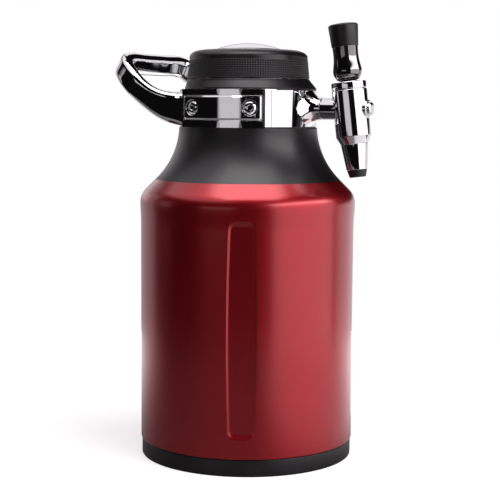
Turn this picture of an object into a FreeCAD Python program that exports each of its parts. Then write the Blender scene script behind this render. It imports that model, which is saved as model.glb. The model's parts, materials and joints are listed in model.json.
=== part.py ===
import FreeCAD, Part
import math
import os

# A mini keg beer dispenser: an insulated two-walled vessel with a pressure cap, a collar that carries a
# lever tap and a loop handle, and a gas cartridge hung below the cap.
# Millimetres. The origin is the centre of the base's underside, +Z is up and +X points to the tap.

# ---- clearances -------------------------------------------------------------------------------------
SEAT_GAP = 0.2          # between fixed pieces that stack in height
FIT_GAP = 0.1           # radial, between nested fixed pieces
RUN_GAP = 0.06          # radial, between a shaft and its bore
EDGE_GAP = 0.35         # around an inlaid plate
MOVE_GAP = 0.3          # between a moving piece and what it passes

# ---- base boot --------------------------------------------------------------------------------------
BOOT_HEIGHT = 10.2
BOOT_FLOOR = 3.0
BOOT_WALL = 2.0
BOOT_INSET = 0.6        # the boot stands this far inside the shell's side
BOOT_CHAMFER = 0.8

# ---- outer shell ------------------------------------------------------------------------------------
SHELL_RADIUS = 65.0
SHELL_WALL = 0.8
SHELL_HEIGHT = 144.2    # from the boot's top edge to the shoulder bead
BEAD_RISE = 0.4         # the shell swells by this much at the shoulder
BEAD_LENGTH = 12.0      # height over which it swells
SHOULDER_ARC = 11.0     # radius of the bend into the shoulder's slope
SHOULDER_ANGLE = 45.0   # of the slope, from the horizontal
SHOULDER_RUN = 6.1      # radial run of the bare slope, up to the sleeve's edge
NECK_RADIUS = 36.6

# ---- recessed panels of the shell -------------------------------------------------------------------
PANEL_COUNT = 4
PANEL_FIRST_ANGLE = 23.8
PANEL_LOW = 24.8        # floor of the panel, above the underside
PANEL_HIGH = 144.6
PANEL_DEPTH = 1.2
PANEL_HALF_MID = 6.7    # half the floor's width at mid height
PANEL_HALF_END = 5.0
PANEL_CORNER = 2.0
PANEL_SIDE_SLOPE = 4.9  # sideways run of the panel's wall for each millimetre of depth
PANEL_END_SLOPE = 2.2

# ---- shoulder sleeve --------------------------------------------------------------------------------
SLEEVE_WALL = 1.6
SLEEVE_RISE = 29.7
SLEEVE_TOP_RADIUS = 41.9
SLEEVE_HOLLOW = 3.0     # how deep its hollow curve dips below the straight line
SLEEVE_LIP = 1.8

# ---- inner vessel -----------------------------------------------------------------------------------
WALL_GAP = 3.0          # between the shell's side and the inner vessel
LINER_WALL = 1.0
LINER_FLOOR_GAP = 4.0   # between the shell's floor and the inner vessel
LINER_FLOOR_ARC = 4.0
LINER_BEND_DROP = 4.2   # the liner's shoulder bend below the shell's shoulder bead
LINER_ARC = 11.0
NECK_BORE = 28.0
NECK_WALL = 1.2
NECK_FLANGE = 1.2
NECK_PROUD = 0.4        # the shell's neck ends this far above the collar
FINISH_RADIUS = 32.4    # the neck's thick upper part, which the cap screws on
FINISH_HEIGHT = 16.0

# ---- collar around the neck -------------------------------------------------------------------------
COLLAR_HEIGHT = 22.3
LINING_WALL = 1.0
BAND_WALL = 1.2
CASTING_WALL = 2.3
CASTING_BEVEL = 0.5
SEAM_ANGLE = 44.5       # the tap block reaches this far to each side of the tap
PAD_RISE = 0.8
PAD_ANGLE = 50.0        # where the raised side pad begins
FLAT_ANGLE = 104.0      # where the round side runs out into a flat
FLAT_LENGTH = 15.3
PLATE_ANGLE = 52.6
PLATE_WALL = 1.0
PLATE_SUNK = 0.2
PLATE_LENGTH = 14.0     # of the plate's flat part
PLATE_HEIGHT = 14.4
PLATE_CENTRE = 11.5     # above the collar's lower edge
SCREW_ANGLE = 62.1
SCREW_FLAT_OFFSET = 7.7 # the rear screw stands this far along the flat
SCREW_HEAD_RADIUS = 4.2
SCREW_HEAD_HEIGHT = 1.7
SCREW_POCKET_RADIUS = 4.6
SCREW_SHANK_RADIUS = 1.9
SCREW_SOCKET_SIDES = 6
SCREW_SOCKET_FLATS = 4.0
SCREW_SOCKET_DEPTH = 1.1

# ---- neck skirt -------------------------------------------------------------------------------------
SKIRT_HEIGHT = 6.0
SKIRT_TOP_RADIUS = 37.0
SKIRT_FOOT_RADIUS = 39.9
SKIRT_FOOT_SHIFT = 1.7  # its foot reaches this far further out on the tap's side
SKIRT_BORE_GAP = 1.1

# ---- tap block's trumpet ----------------------------------------------------------------------------
TAP_HEIGHT = 11.3       # axis of the tap's shank above the collar's lower edge
TRUMPET_LENGTH = 7.8    # its small end stands this far outside the castings' face
TRUMPET_END_RADIUS = 6.4
TRUMPET_THROAT = (3.4, 7.6)     # distance outside the castings' face, and radius there
TRUMPET_FLARE = (0.0, 10.6)
TRUMPET_FOOT = (-7.7, 24.0)

# ---- loop handle ------------------------------------------------------------------------------------
HANDLE_ROOT_ANGLE = 133.0
HANDLE_ROOT_DEPTH = 1.8 # the arm starts this far inside the casting's outer face
HANDLE_ROOT_HEIGHT = 10.5
HANDLE_BEND_FROM = 25.5 # distance behind the vessel's axis where the loop starts to climb
HANDLE_BEND_TO = 54.0
HANDLE_SLOPE = 1.0      # rise of the loop for each millimetre backwards, past the bend
HANDLE_BEND_Y = 36.3
HANDLE_BEND_EASE = 0.4  # the skin cuts the arm's bend by this much
HANDLE_SPREAD = 0.36    # sideways run of an arm for each millimetre backwards
HANDLE_REACH = 67.0     # distance of the grip bar's centre behind the vessel's axis
HANDLE_CORNER = 12.5
HANDLE_ROOT_LONG = 20.6
HANDLE_LONG = 13.2
HANDLE_TAPER_FROM = 27.0
HANDLE_TAPER_TO = 48.0
HANDLE_THICK = 7.8
HANDLE_ROUND = 3.4
HANDLE_ROOT_FLARE = 8.5 # added to the arm's thickness where it leaves the casting
HANDLE_FLARE_LENGTH = 8.0
HANDLE_BAR_TILT = 0.6   # share of the climb by which the grip bar's section leans
HANDLE_FLARE_STATIONS = (0.0, 0.25, 0.6)
HANDLE_ARM_STATIONS = (0.28, 0.64, 1.0)
HANDLE_CORNER_STATIONS = (0.25, 0.5, 0.75, 1.0)

# ---- port, shank and dip tube -----------------------------------------------------------------------
PORT_RADIUS = 6.0
PORT_INNER_END = 26.5
PORT_BORE = 2.4
PORT_SOCKET_DEPTH = 4.6
BARB_RADIUS = 3.8
BARB_LENGTH = 5.5
SHANK_RADIUS = 4.5
SHANK_BORE = 3.0
SHANK_SEAL = 1.0
SHANK_PROUD = 0.6       # the shank ends this far past the trumpet
ELBOW_RADIUS = 4.7
ELBOW_AXIS = 19.6       # distance of the dip tube from the vessel's axis
ELBOW_DROP = 9.4
DIP_RADIUS = 3.0
DIP_BORE = 2.2
DIP_CLEAR = 7.0         # between the dip tube's end and the vessel's floor

# ---- tap --------------------------------------------------------------------------------------------
TAP_OFFSET = 18.0       # the tap's axis stands this far past the trumpet's end
TAP_LEAN = 7.0          # degrees; the tap's foot leans out
TAP_RADIUS = 10.3
TAP_TOP = 11.2          # along the tap's axis, from the shank's axis
TAP_FOOT = -16.0
TAP_CONE_RADIUS = 8.0
TAP_CONE_END = -20.5
TAP_CAVITY = 6.3
SPIGOT_RADIUS = 6.35
SPIGOT_PLUG_RADIUS = 5.6
SPIGOT_DEPTH = 5.5      # how far the spigot enters the trumpet
CHAMBER_RADIUS = 5.0
SEAT_SETBACK = 9.4      # the valve's seat is this far behind the tap's axis
SEAT_BORE = 3.8
BOSS_RADIUS = 5.4
BOSS_LENGTH = 11.2      # the boss's face stands this far in front of the tap's axis
PLUG_RADIUS = 3.9
PLUG_LENGTH = 10.0
PLUG_PROUD = 2.3        # the plug stands this far out of the boss
PLUG_DOME = 0.6
BONNET_RADIUS = 10.2
BONNET_HEIGHT = 4.4
BONNET_STEP = 1.4
FUNNEL_LOW = 6.8
FUNNEL_HIGH = 9.0
SPOUT_LENGTH = 15.1
SPOUT_END_RADIUS = 6.1
SPOUT_BORE = 4.4
SPOUT_PLUG = 6.0
TIP_LENGTH = 4.4
TIP_RADIUS = 5.9
TIP_END_RADIUS = 4.8
TIP_BORE = 3.6
TIP_PLUG = 4.6

# ---- lever ------------------------------------------------------------------------------------------
PIVOT_HEIGHT = 13.9
PIVOT_PIN_RADIUS = 1.1
BALL_RADIUS = 5.2
FINGER_RADIUS = 1.4
FINGER_TIP_RADIUS = 2.0
STEM_RADIUS = 3.5
STEM_TOP = 45.0
SEAL_HEIGHT = 1.2
SEAL_BORE = 4.5
GRIP_POCKET = 5.4
GRIP_POCKET_TOP = 19.4
GRIP_FOOT = (6.6, 17.2)
GRIP_HEEL = (8.0, 19.6)
GRIP_BULGE = (8.4, 21.4)
GRIP_WAIST = (7.4, 29.0)
GRIP_TOP = (7.5, 36.2)
LEVER_CAP_FOOT = 7.8
LEVER_CAP_TOP = 8.8
LEVER_CAP_HEIGHT = 13.0
LEVER_CAP_DOME = 0.7
LEVER_CAP_BEVEL = 0.8

# ---- valve ------------------------------------------------------------------------------------------
HEAD_RADIUS = 4.6
HEAD_THICK = 0.8
VALVE_SEAL = 1.25
ROD_RADIUS = 2.2
BLOCK_RADIUS = 3.2
BLOCK_LENGTH = 5.8
SLOT_WIDTH = 4.3
BLOCK_FLAT = 1.6        # height of the block's flattened top above the rod's axis
FRONT_ROD_RADIUS = 2.6
FRONT_ROD_LENGTH = 10.2 # in front of the tap's axis

# ---- cap --------------------------------------------------------------------------------------------
GASKET_THICK = 1.0
GASKET_OVERHANG = 1.1
WASHER_THICK = 0.6
CAP_RADIUS = 37.0
CAP_TOP_RADIUS = 35.7
CAP_SKIRT_HEIGHT = 12.8 # the gripped side of the cap
CAP_ROUND_RADIUS = 27.0 # the rounded edge ends here
CAP_ROUND_HEIGHT = 4.4
CAP_BORE_GAP = 1.5
DIAL_RADIUS = 20.0
DIAL_EDGE = 1.7
DIAL_RISE = 5.4
DIAL_WELL_DEPTH = 1.6

# ---- regulator --------------------------------------------------------------------------------------
REGULATOR_FLANGE = 26.0
REGULATOR_FLANGE_THICK = 3.0
REGULATOR_RADIUS = 22.0
REGULATOR_LENGTH = 19.5
REGULATOR_CONE = 4.8
REGULATOR_CAVITY = 11.0
REGULATOR_CAVITY_DEPTH = 19.0
REGULATOR_WELL = 4.5
REGULATOR_WELL_DEPTH = 6.0
REGULATOR_PASSAGE = 1.6
NOZZLE_RADIUS = 11.6
NOZZLE_LENGTH = 12.2
NOZZLE_BORE = 5.0
NOZZLE_BORE_DEPTH = 7.0
DIAPHRAGM_THICK = 0.8
SCREW_RADIUS = 4.0
SCREW_LENGTH = 8.6
SCREW_COLLAR = 8.5
SCREW_COLLAR_THICK = 1.4
SCREW_NECK = 5.0
SCREW_SPIGOT = 3.5
SCREW_SPIGOT_LENGTH = 2.8
NUT_THICK = 3.0
NUT_HEIGHT = 11.2       # underside of the spring's seat above the diaphragm
SPRING_RADIUS = 7.4
SPRING_WIRE = 0.9
SPRING_TURNS = 4
SPRING_STATIONS = 24    # sections of the wire in one turn
CHECK_RADIUS = 4.2
CHECK_HEIGHT = 3.0
CHECK_STEM = 1.0
RELIEF_OFFSET = 16.6
RELIEF_RADIUS = 3.0
RELIEF_LENGTH = 14.0

# ---- gas cartridge ----------------------------------------------------------------------------------
CARTRIDGE_RADIUS = 9.3
CARTRIDGE_LENGTH = 66.0
CARTRIDGE_WALL = 1.3
CARTRIDGE_NECK = 4.3
CARTRIDGE_NECK_LENGTH = 6.5
CARTRIDGE_SHOULDER = 7.5
CARTRIDGE_ENTRY = 2.0   # how far its neck enters the nozzle
PIERCED_HOLE = 1.1
NEEDLE_RADIUS = 0.8
NEEDLE_DEPTH = 1.6
CARTRIDGE_SEAL = 2.3
HOLDER_WALL = 1.9
HOLDER_FLOOR = 3.8
HOLDER_GRIP = 10.0      # how far the holder reaches up the nozzle

ORIGIN = FreeCAD.Vector(0, 0, 0)
Y_AXIS = FreeCAD.Vector(0, 1, 0)
Z_AXIS = FreeCAD.Vector(0, 0, 1)
FULL_TURN = 360.0

# ---- levels and radii that follow from the sizes above ----------------------------------------------
shell_floor = BOOT_FLOOR + SEAT_GAP
bead_level = BOOT_HEIGHT + SHELL_HEIGHT
bead_radius = SHELL_RADIUS + BEAD_RISE
slope = math.radians(SHOULDER_ANGLE)
bend_end = (bead_radius - SHOULDER_ARC * (1 - math.sin(slope)), bead_level + SHOULDER_ARC * math.cos(slope))
sleeve_foot = (bend_end[0] - SHOULDER_RUN, bend_end[1] + SHOULDER_RUN * math.tan(slope))
sleeve_head = (SLEEVE_TOP_RADIUS, sleeve_foot[1] + SLEEVE_RISE)
sleeve_top = sleeve_head[1] + SLEEVE_LIP
collar_low = sleeve_top + SEAT_GAP
collar_high = collar_low + COLLAR_HEIGHT
lining_in = NECK_RADIUS + FIT_GAP
lining_out = lining_in + LINING_WALL
band_in = lining_out + FIT_GAP
band_out = band_in + BAND_WALL
casting_in = band_out + FIT_GAP
casting_out = casting_in + CASTING_WALL
pad_out = casting_out + PAD_RISE
neck_top = collar_high + NECK_PROUD
flange_top = neck_top + NECK_FLANGE
rim_level = flange_top + FINISH_HEIGHT
liner_floor = shell_floor + SHELL_WALL + LINER_FLOOR_GAP
liner_radius = SHELL_RADIUS - SHELL_WALL - WALL_GAP
port_level = collar_low + TAP_HEIGHT
skirt_low = collar_high + SEAT_GAP
skirt_high = skirt_low + SKIRT_HEIGHT
cap_low = skirt_high + MOVE_GAP
gasket_top = rim_level + GASKET_THICK
ceiling = gasket_top + WASHER_THICK
cap_side_top = cap_low + CAP_SKIRT_HEIGHT
cap_top = cap_side_top + CAP_ROUND_HEIGHT
dial_floor = cap_top - DIAL_WELL_DEPTH
dial_low = dial_floor + MOVE_GAP
regulator_top = ceiling
regulator_low = regulator_top - REGULATOR_FLANGE_THICK - REGULATOR_LENGTH
shank_axis = FreeCAD.Vector(0, 0, port_level)
trumpet_end = casting_out + TRUMPET_LENGTH
tap_reach = trumpet_end + TAP_OFFSET
boss_face = tap_reach + BOSS_LENGTH
front_rod_end = tap_reach + FRONT_ROD_LENGTH
shank_end = trumpet_end + SHANK_PROUD
chamber_end = tap_reach - SEAT_SETBACK
tap_centre = FreeCAD.Vector(tap_reach, 0, port_level)
lean = math.radians(TAP_LEAN)
tap_axis = FreeCAD.Vector(-math.sin(lean), 0, math.cos(lean))
pivot = tap_centre + tap_axis * PIVOT_HEIGHT


# ---- building blocks --------------------------------------------------------------------------------
def face_of(steps):
    """Flat face in the XZ plane. A step is a corner (x, z), or a pair of corners: an arc's middle and end."""
    edges = []
    here = FreeCAD.Vector(steps[0][0], 0, steps[0][1])
    first = here
    for step in steps[1:] + [steps[0]]:
        if isinstance(step[0], tuple):
            middle = FreeCAD.Vector(step[0][0], 0, step[0][1])
            there = FreeCAD.Vector(step[1][0], 0, step[1][1])
            edges.append(Part.ArcOfCircle(here, middle, there).toShape())
        else:
            there = FreeCAD.Vector(step[0], 0, step[1])
            if there.distanceToPoint(here) > Part.Precision.confusion():
                edges.append(Part.makeLine(here, there))
        here = there
    if here.distanceToPoint(first) > Part.Precision.confusion():
        edges.append(Part.makeLine(here, first))
    return Part.Face(Part.Wire(edges))


def turned(steps, sweep=FULL_TURN, start=0.0):
    """Solid turned about the Z axis from a profile of (radius, height) steps."""
    solid = face_of(steps).revolve(ORIGIN, Z_AXIS, sweep)
    solid.rotate(ORIGIN, Z_AXIS, start)
    return solid


def ring(inner, outer, low, high):
    """Plain ring about the Z axis."""
    return turned([(inner, low), (outer, low), (outer, high), (inner, high)])


def disc(radius, low, high):
    """Plain disc about the Z axis."""
    return Part.makeCylinder(radius, high - low, FreeCAD.Vector(0, 0, low), Z_AXIS)


def along_x(solid):
    """A solid turned about Z, laid along the tap's shank: its heights become distances along +X."""
    laid = solid.copy()
    laid.rotate(ORIGIN, Y_AXIS, 90)
    laid.translate(shank_axis)
    return laid


def on_tap(solid):
    """A solid turned about Z, set on the leaning tap's axis with height 0 at the shank's axis."""
    placed = solid.copy()
    placed.rotate(ORIGIN, Y_AXIS, -TAP_LEAN)
    placed.translate(tap_centre)
    return placed


def parallel_arc(start, middle, end, distance):
    """The three points of the arc that runs at a distance outside another arc, away from its centre."""
    arc = Part.ArcOfCircle(*[FreeCAD.Vector(x, 0, z) for x, z in (start, middle, end)])
    centre = arc.Center
    grown = []
    for x, z in (start, middle, end):
        point = FreeCAD.Vector(x, 0, z)
        out = (point - centre).normalize()
        moved = point + out * distance
        grown.append((moved.x, moved.z))
    return grown


def sagged(start, end, sag):
    """Middle point of an arc from start to end that dips by sag to the left of the straight line."""
    along = FreeCAD.Vector(end[0] - start[0], 0, end[1] - start[1])
    length = along.Length
    middle_x = (start[0] + end[0]) / 2 - along.z / length * sag
    middle_z = (start[1] + end[1]) / 2 + along.x / length * sag
    return (middle_x, middle_z)


def dome(radius, rim, rise):
    """Middle and end of the arc of a spherical crown from its rim to its top on the axis."""
    ball = (radius ** 2 + rise ** 2) / (2 * rise)
    half = math.asin(radius / ball) / 2
    return (ball * math.sin(half), rim + rise - ball * (1 - math.cos(half))), (0, rim + rise)


def mirrored(solid):
    """The same solid on the other side of the tap's upright plane."""
    return solid.mirror(ORIGIN, Y_AXIS)


def export(solid, node):
    """Writes one sub-part."""
    solid.exportStep("parts/" + node + ".step")
    print(node, solid.isValid(), len(solid.Solids), round(solid.Volume))


# ---- vessel -----------------------------------------------------------------------------------------
def base_boot():
    """Shallow black cup that the shell stands in, with a flat underside."""
    outer = SHELL_RADIUS - BOOT_INSET
    inner = outer - BOOT_WALL
    return turned([
        (0, 0),
        (outer - BOOT_CHAMFER, 0),
        (outer, BOOT_CHAMFER),
        (outer, BOOT_HEIGHT - SEAT_GAP),
        (inner, BOOT_HEIGHT - SEAT_GAP),
        (inner, BOOT_FLOOR),
        (0, BOOT_FLOOR),
    ])


def shell_side(inset):
    """Steps of the shell's side, bead, bend and slope, set in by a wall."""
    half_rise = BEAD_RISE / 2
    half_length = BEAD_LENGTH / 2
    quarter = BEAD_RISE / 8
    side = SHELL_RADIUS - inset
    low = bead_level - BEAD_LENGTH
    top_arc = SHOULDER_ARC - inset
    centre = (bead_radius - SHOULDER_ARC, bead_level)
    half_turn = slope_turn() / 2
    bend_middle = (centre[0] + top_arc * math.cos(half_turn), centre[1] + top_arc * math.sin(half_turn))
    bend = (centre[0] + top_arc * math.cos(2 * half_turn), centre[1] + top_arc * math.sin(2 * half_turn))
    return [
        (side, low),
        ((side + quarter, low + half_length / 2), (side + half_rise, low + half_length)),
        ((side + BEAD_RISE - quarter, bead_level - half_length / 2), (side + BEAD_RISE, bead_level)),
        (bend_middle, bend),
    ]


def slope_turn():
    """Angle of the shoulder's bend."""
    return math.pi / 2 - slope


def under_sleeve(distance):
    """The three points of the sleeve's hollow curve, set in by a distance, from its foot to its head."""
    middle = sagged(sleeve_foot, sleeve_head, SLEEVE_HOLLOW)
    return parallel_arc(sleeve_foot, middle, sleeve_head, distance)


def panel_cutter(sink, growth):
    """Wedge that cuts one flat panel into the shell at +X: sink is its floor's depth below the side."""
    floor = SHELL_RADIUS - sink
    lift = PANEL_DEPTH + BEAD_RISE
    wires = []
    for rise in (0.0, lift):
        side = growth + rise * PANEL_SIDE_SLOPE
        end = growth + rise * PANEL_END_SLOPE
        wires.append(barrel_wire(
            floor + rise,
            PANEL_HALF_MID + side,
            PANEL_HALF_END + side,
            PANEL_LOW - end,
            PANEL_HIGH + end,
            PANEL_CORNER + rise,
        ))
    return Part.makeLoft(wires, True, True)


def barrel_wire(x, half_mid, half_end, low, high, corner):
    """Upright outline with bowed sides and rounded corners, in the plane at x."""
    cut = corner * (1 - math.sqrt(0.5))
    centre = (low + high) / 2

    def at(y, z):
        return FreeCAD.Vector(x, y, z)

    edges = []
    for turn in (1, -1):
        foot = low if turn > 0 else high
        head = high if turn > 0 else low
        start = at(turn * half_end, foot + turn * corner)
        stop = at(turn * half_end, head - turn * corner)
        edges.append(Part.ArcOfCircle(start, at(turn * half_mid, centre), stop).toShape())
        bend = at(turn * (half_end - cut), head - turn * cut)
        landing = at(turn * (half_end - corner), head)
        edges.append(Part.ArcOfCircle(stop, bend, landing).toShape())
        across = at(-turn * (half_end - corner), head)
        edges.append(Part.makeLine(landing, across))
        bend = at(-turn * (half_end - cut), head - turn * cut)
        edges.append(Part.ArcOfCircle(across, bend, at(-turn * half_end, head - turn * corner)).toShape())
    return Part.Wire(edges)


def outer_shell():
    """Thin outer skin: a cup with a stepped foot, four flat panels, a shoulder and a neck."""
    step = SHELL_RADIUS - BOOT_INSET - BOOT_WALL - SEAT_GAP
    tuck = SLEEVE_WALL + SEAT_GAP
    under = under_sleeve(tuck)
    ledge = collar_low - SEAT_GAP
    form = turned([
        (0, shell_floor),
        (step, shell_floor),
        (step, BOOT_HEIGHT),
        (SHELL_RADIUS, BOOT_HEIGHT),
        *shell_side(0),
        sleeve_foot,
        under[0],
        (under[1], under[2]),
        (under[2][0], ledge),
        (NECK_RADIUS, ledge),
        (NECK_RADIUS, neck_top),
        (0, neck_top),
    ])
    inner = under_sleeve(tuck + SHELL_WALL)
    room = turned([
        (0, shell_floor + SHELL_WALL),
        (step - SHELL_WALL, shell_floor + SHELL_WALL),
        (step - SHELL_WALL, BOOT_HEIGHT + SHELL_WALL),
        (SHELL_RADIUS - SHELL_WALL, BOOT_HEIGHT + SHELL_WALL),
        *shell_side(SHELL_WALL),
        inner[0],
        (inner[1], inner[2]),
        (inner[2][0], ledge - SHELL_WALL),
        (NECK_RADIUS - SHELL_WALL, ledge - SHELL_WALL),
        (NECK_RADIUS - SHELL_WALL, neck_top),
        (0, neck_top),
    ])
    cutter = panel_cutter(PANEL_DEPTH, 0.0)
    backing = panel_cutter(PANEL_DEPTH + SHELL_WALL, SHELL_WALL)
    for index in range(PANEL_COUNT):
        angle = PANEL_FIRST_ANGLE + index * FULL_TURN / PANEL_COUNT
        form = form.cut(cutter.rotated(ORIGIN, Z_AXIS, angle))
        room = room.cut(backing.rotated(ORIGIN, Z_AXIS, angle))
    return form.cut(room).cut(port_hole())


def port_hole():
    """Hole for the port's bush through everything around the neck on the tap's side."""
    return along_x(disc(PORT_RADIUS + RUN_GAP, 0, SHELL_RADIUS))


def shoulder_sleeve():
    """Black hollow-curved cover from the shoulder up to the collar."""
    outer = under_sleeve(0.0)
    inner = under_sleeve(SLEEVE_WALL)
    return turned([
        outer[0],
        (outer[1], outer[2]),
        (outer[2][0], sleeve_top),
        (inner[2][0], sleeve_top),
        inner[2],
        (inner[1], inner[0]),
    ])


def liner_outline(inset):
    """Steps of the inner vessel's side from the floor's edge to the neck, set in by a wall."""
    side = liner_radius - inset
    low = liner_floor + inset
    corner = LINER_FLOOR_ARC - inset
    diagonal = corner * (1 - math.sqrt(0.5))
    bend_low = bead_level - LINER_BEND_DROP
    arc = LINER_ARC - inset
    centre = (liner_radius - LINER_ARC, bend_low)
    half = slope_turn() / 2
    neck = NECK_BORE + NECK_WALL - inset * NECK_WALL / LINER_WALL
    bend = (centre[0] + arc * math.cos(2 * half), centre[1] + arc * math.sin(2 * half))
    return [
        (side - corner, low),
        ((side - diagonal, low + diagonal), (side, low + corner)),
        (side, bend_low),
        ((centre[0] + arc * math.cos(half), centre[1] + arc * math.sin(half)), bend),
        (neck, bend[1] + (bend[0] - neck) * math.tan(slope)),
    ]


def inner_vessel():
    """The beer's container: floor, side, shoulder, neck, flange on the shell's neck, and threaded finish."""
    form = turned([
        (0, liner_floor),
        *liner_outline(0.0),
        (NECK_BORE + NECK_WALL, neck_top),
        (NECK_RADIUS, neck_top),
        (NECK_RADIUS, flange_top),
        (FINISH_RADIUS, flange_top),
        (FINISH_RADIUS, rim_level),
        (0, rim_level),
    ])
    room = turned([
        (0, liner_floor + LINER_WALL),
        *liner_outline(LINER_WALL),
        (NECK_BORE, rim_level),
        (0, rim_level),
    ])
    return form.cut(room).cut(port_hole())


# ---- collar -----------------------------------------------------------------------------------------
def collar_lining():
    """Rubber ring between the neck and the clamp band."""
    return ring(lining_in, lining_out, collar_low, collar_high).cut(port_hole())


def clamp_band():
    """Steel ring that the castings are screwed to."""
    band = ring(band_in, band_out, collar_low, collar_high).cut(port_hole())
    for shank in screw_places(disc(SCREW_SHANK_RADIUS + RUN_GAP, 0, pad_out)):
        band = band.cut(shank)
    return band


def casting_sector(start, stop):
    """Bevelled part of the collar's outer ring between two angles."""
    return turned([
        (casting_in, collar_low),
        (casting_out - CASTING_BEVEL, collar_low),
        (casting_out, collar_low + CASTING_BEVEL),
        (casting_out, collar_high - CASTING_BEVEL),
        (casting_out - CASTING_BEVEL, collar_high),
        (casting_in, collar_high),
    ], stop - start, start)


def tap_block():
    """Front casting: a third of the ring that swells into a trumpet for the tap's shank."""
    half = SEAM_ANGLE - math.degrees(SEAT_GAP / 2 / casting_out)
    sector = casting_sector(-half, half)
    flare = Part.BSplineCurve()
    stations = [(TRUMPET_END_RADIUS, trumpet_end)]
    for past, radius in (TRUMPET_THROAT, TRUMPET_FLARE, TRUMPET_FOOT):
        stations.append((radius, casting_out + past))
    flare.interpolate([FreeCAD.Vector(radius, 0, reach) for radius, reach in stations])
    foot = stations[-1]
    edges = [
        Part.makeLine(FreeCAD.Vector(0, 0, trumpet_end), FreeCAD.Vector(TRUMPET_END_RADIUS, 0, trumpet_end)),
        flare.toShape(),
        Part.makeLine(FreeCAD.Vector(foot[0], 0, foot[1]), FreeCAD.Vector(0, 0, foot[1])),
        Part.makeLine(FreeCAD.Vector(0, 0, foot[1]), FreeCAD.Vector(0, 0, trumpet_end)),
    ]
    trumpet = along_x(Part.Face(Part.Wire(edges)).revolve(ORIGIN, Z_AXIS, FULL_TURN))
    trumpet = trumpet.common(ring(casting_in, tap_reach, collar_low, collar_high))
    socket = along_x(disc(SPIGOT_PLUG_RADIUS + FIT_GAP, trumpet_end - SPIGOT_DEPTH - SEAT_GAP, trumpet_end))
    bore = along_x(disc(SHANK_RADIUS + FIT_GAP, 0, trumpet_end))
    return sector.fuse(trumpet).cut(socket).cut(bore).removeSplitter()


def flat_frame():
    """Tangent point direction and flat direction of the casting's side, as unit vectors."""
    angle = math.radians(FLAT_ANGLE)
    normal = FreeCAD.Vector(math.cos(angle), math.sin(angle), 0)
    along = FreeCAD.Vector(-math.sin(angle), math.cos(angle), 0)
    return normal, along


def on_circle(radius, angle):
    """Point at a radius and an angle from the tap's direction."""
    return FreeCAD.Vector(radius * math.cos(math.radians(angle)), radius * math.sin(math.radians(angle)), 0)


def arc_between(radius, start, stop):
    """Arc about the vessel's axis between two angles."""
    middle = on_circle(radius, (start + stop) / 2)
    return Part.ArcOfCircle(on_circle(radius, start), middle, on_circle(radius, stop)).toShape()


def side_prism(outer, inner, start, length, low, high):
    """Upright band along the casting's side: round from a start angle, then flat over a length."""
    normal, along = flat_frame()
    edges = [
        arc_between(outer, start, FLAT_ANGLE),
        Part.makeLine(normal * outer, normal * outer + along * length),
        Part.makeLine(normal * outer + along * length, normal * inner + along * length),
        Part.makeLine(normal * inner + along * length, normal * inner),
        arc_between(inner, FLAT_ANGLE, start),
        Part.makeLine(on_circle(inner, start), on_circle(outer, start)),
    ]
    prism = Part.Face(Part.Wire(edges)).extrude(Z_AXIS * (high - low))
    prism.translate(Z_AXIS * low)
    return prism


def side_pad():
    """Raised side of the handle's casting, filled back to the ring."""
    normal, along = flat_frame()
    end = normal * pad_out + along * FLAT_LENGTH
    end_angle = math.degrees(math.atan2(end.y, end.x))
    inside = casting_in + CASTING_WALL / 2
    edges = [
        arc_between(pad_out, PAD_ANGLE, FLAT_ANGLE),
        Part.makeLine(normal * pad_out, end),
        Part.makeLine(end, on_circle(inside, end_angle)),
        arc_between(inside, end_angle, PAD_ANGLE),
        Part.makeLine(on_circle(inside, PAD_ANGLE), on_circle(pad_out, PAD_ANGLE)),
    ]
    pad = Part.Face(Part.Wire(edges)).extrude(Z_AXIS * COLLAR_HEIGHT)
    pad.translate(Z_AXIS * collar_low)
    return pad


def plate_levels():
    """Lower and upper edge of the side plates."""
    centre = collar_low + PLATE_CENTRE
    return centre - PLATE_HEIGHT / 2, centre + PLATE_HEIGHT / 2


def screw_places(solid):
    """Copies of a solid turned about Z, laid along each collar screw with height 0 at the vessel's axis."""
    normal, along = flat_frame()
    level = Z_AXIS * (collar_low + PLATE_CENTRE)
    placed = []
    for angle, offset in ((SCREW_ANGLE, 0.0), (FLAT_ANGLE, SCREW_FLAT_OFFSET)):
        laid = solid.copy()
        laid.rotate(ORIGIN, Y_AXIS, 90)
        laid.rotate(ORIGIN, Z_AXIS, angle)
        laid.translate(level + along * offset)
        placed.append(laid)
        placed.append(mirrored(laid))
    return placed


def plate_seat():
    """Distance of the side plates' back from the vessel's axis, or from the flat's parallel through it."""
    return pad_out - PLATE_SUNK - PLATE_WALL


def side_plate():
    """Inlaid plate on the casting's side, with two screw pockets."""
    low, high = plate_levels()
    plate = side_prism(pad_out - PLATE_SUNK, plate_seat(), PLATE_ANGLE, PLATE_LENGTH, low, high)
    for pocket in screw_places(disc(SCREW_POCKET_RADIUS, 0, 2 * pad_out)):
        plate = plate.cut(pocket)
    return plate


def head_seat():
    """Distance of the screw heads' underside from the vessel's axis."""
    return pad_out - PLATE_SUNK - SCREW_HEAD_HEIGHT


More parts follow.
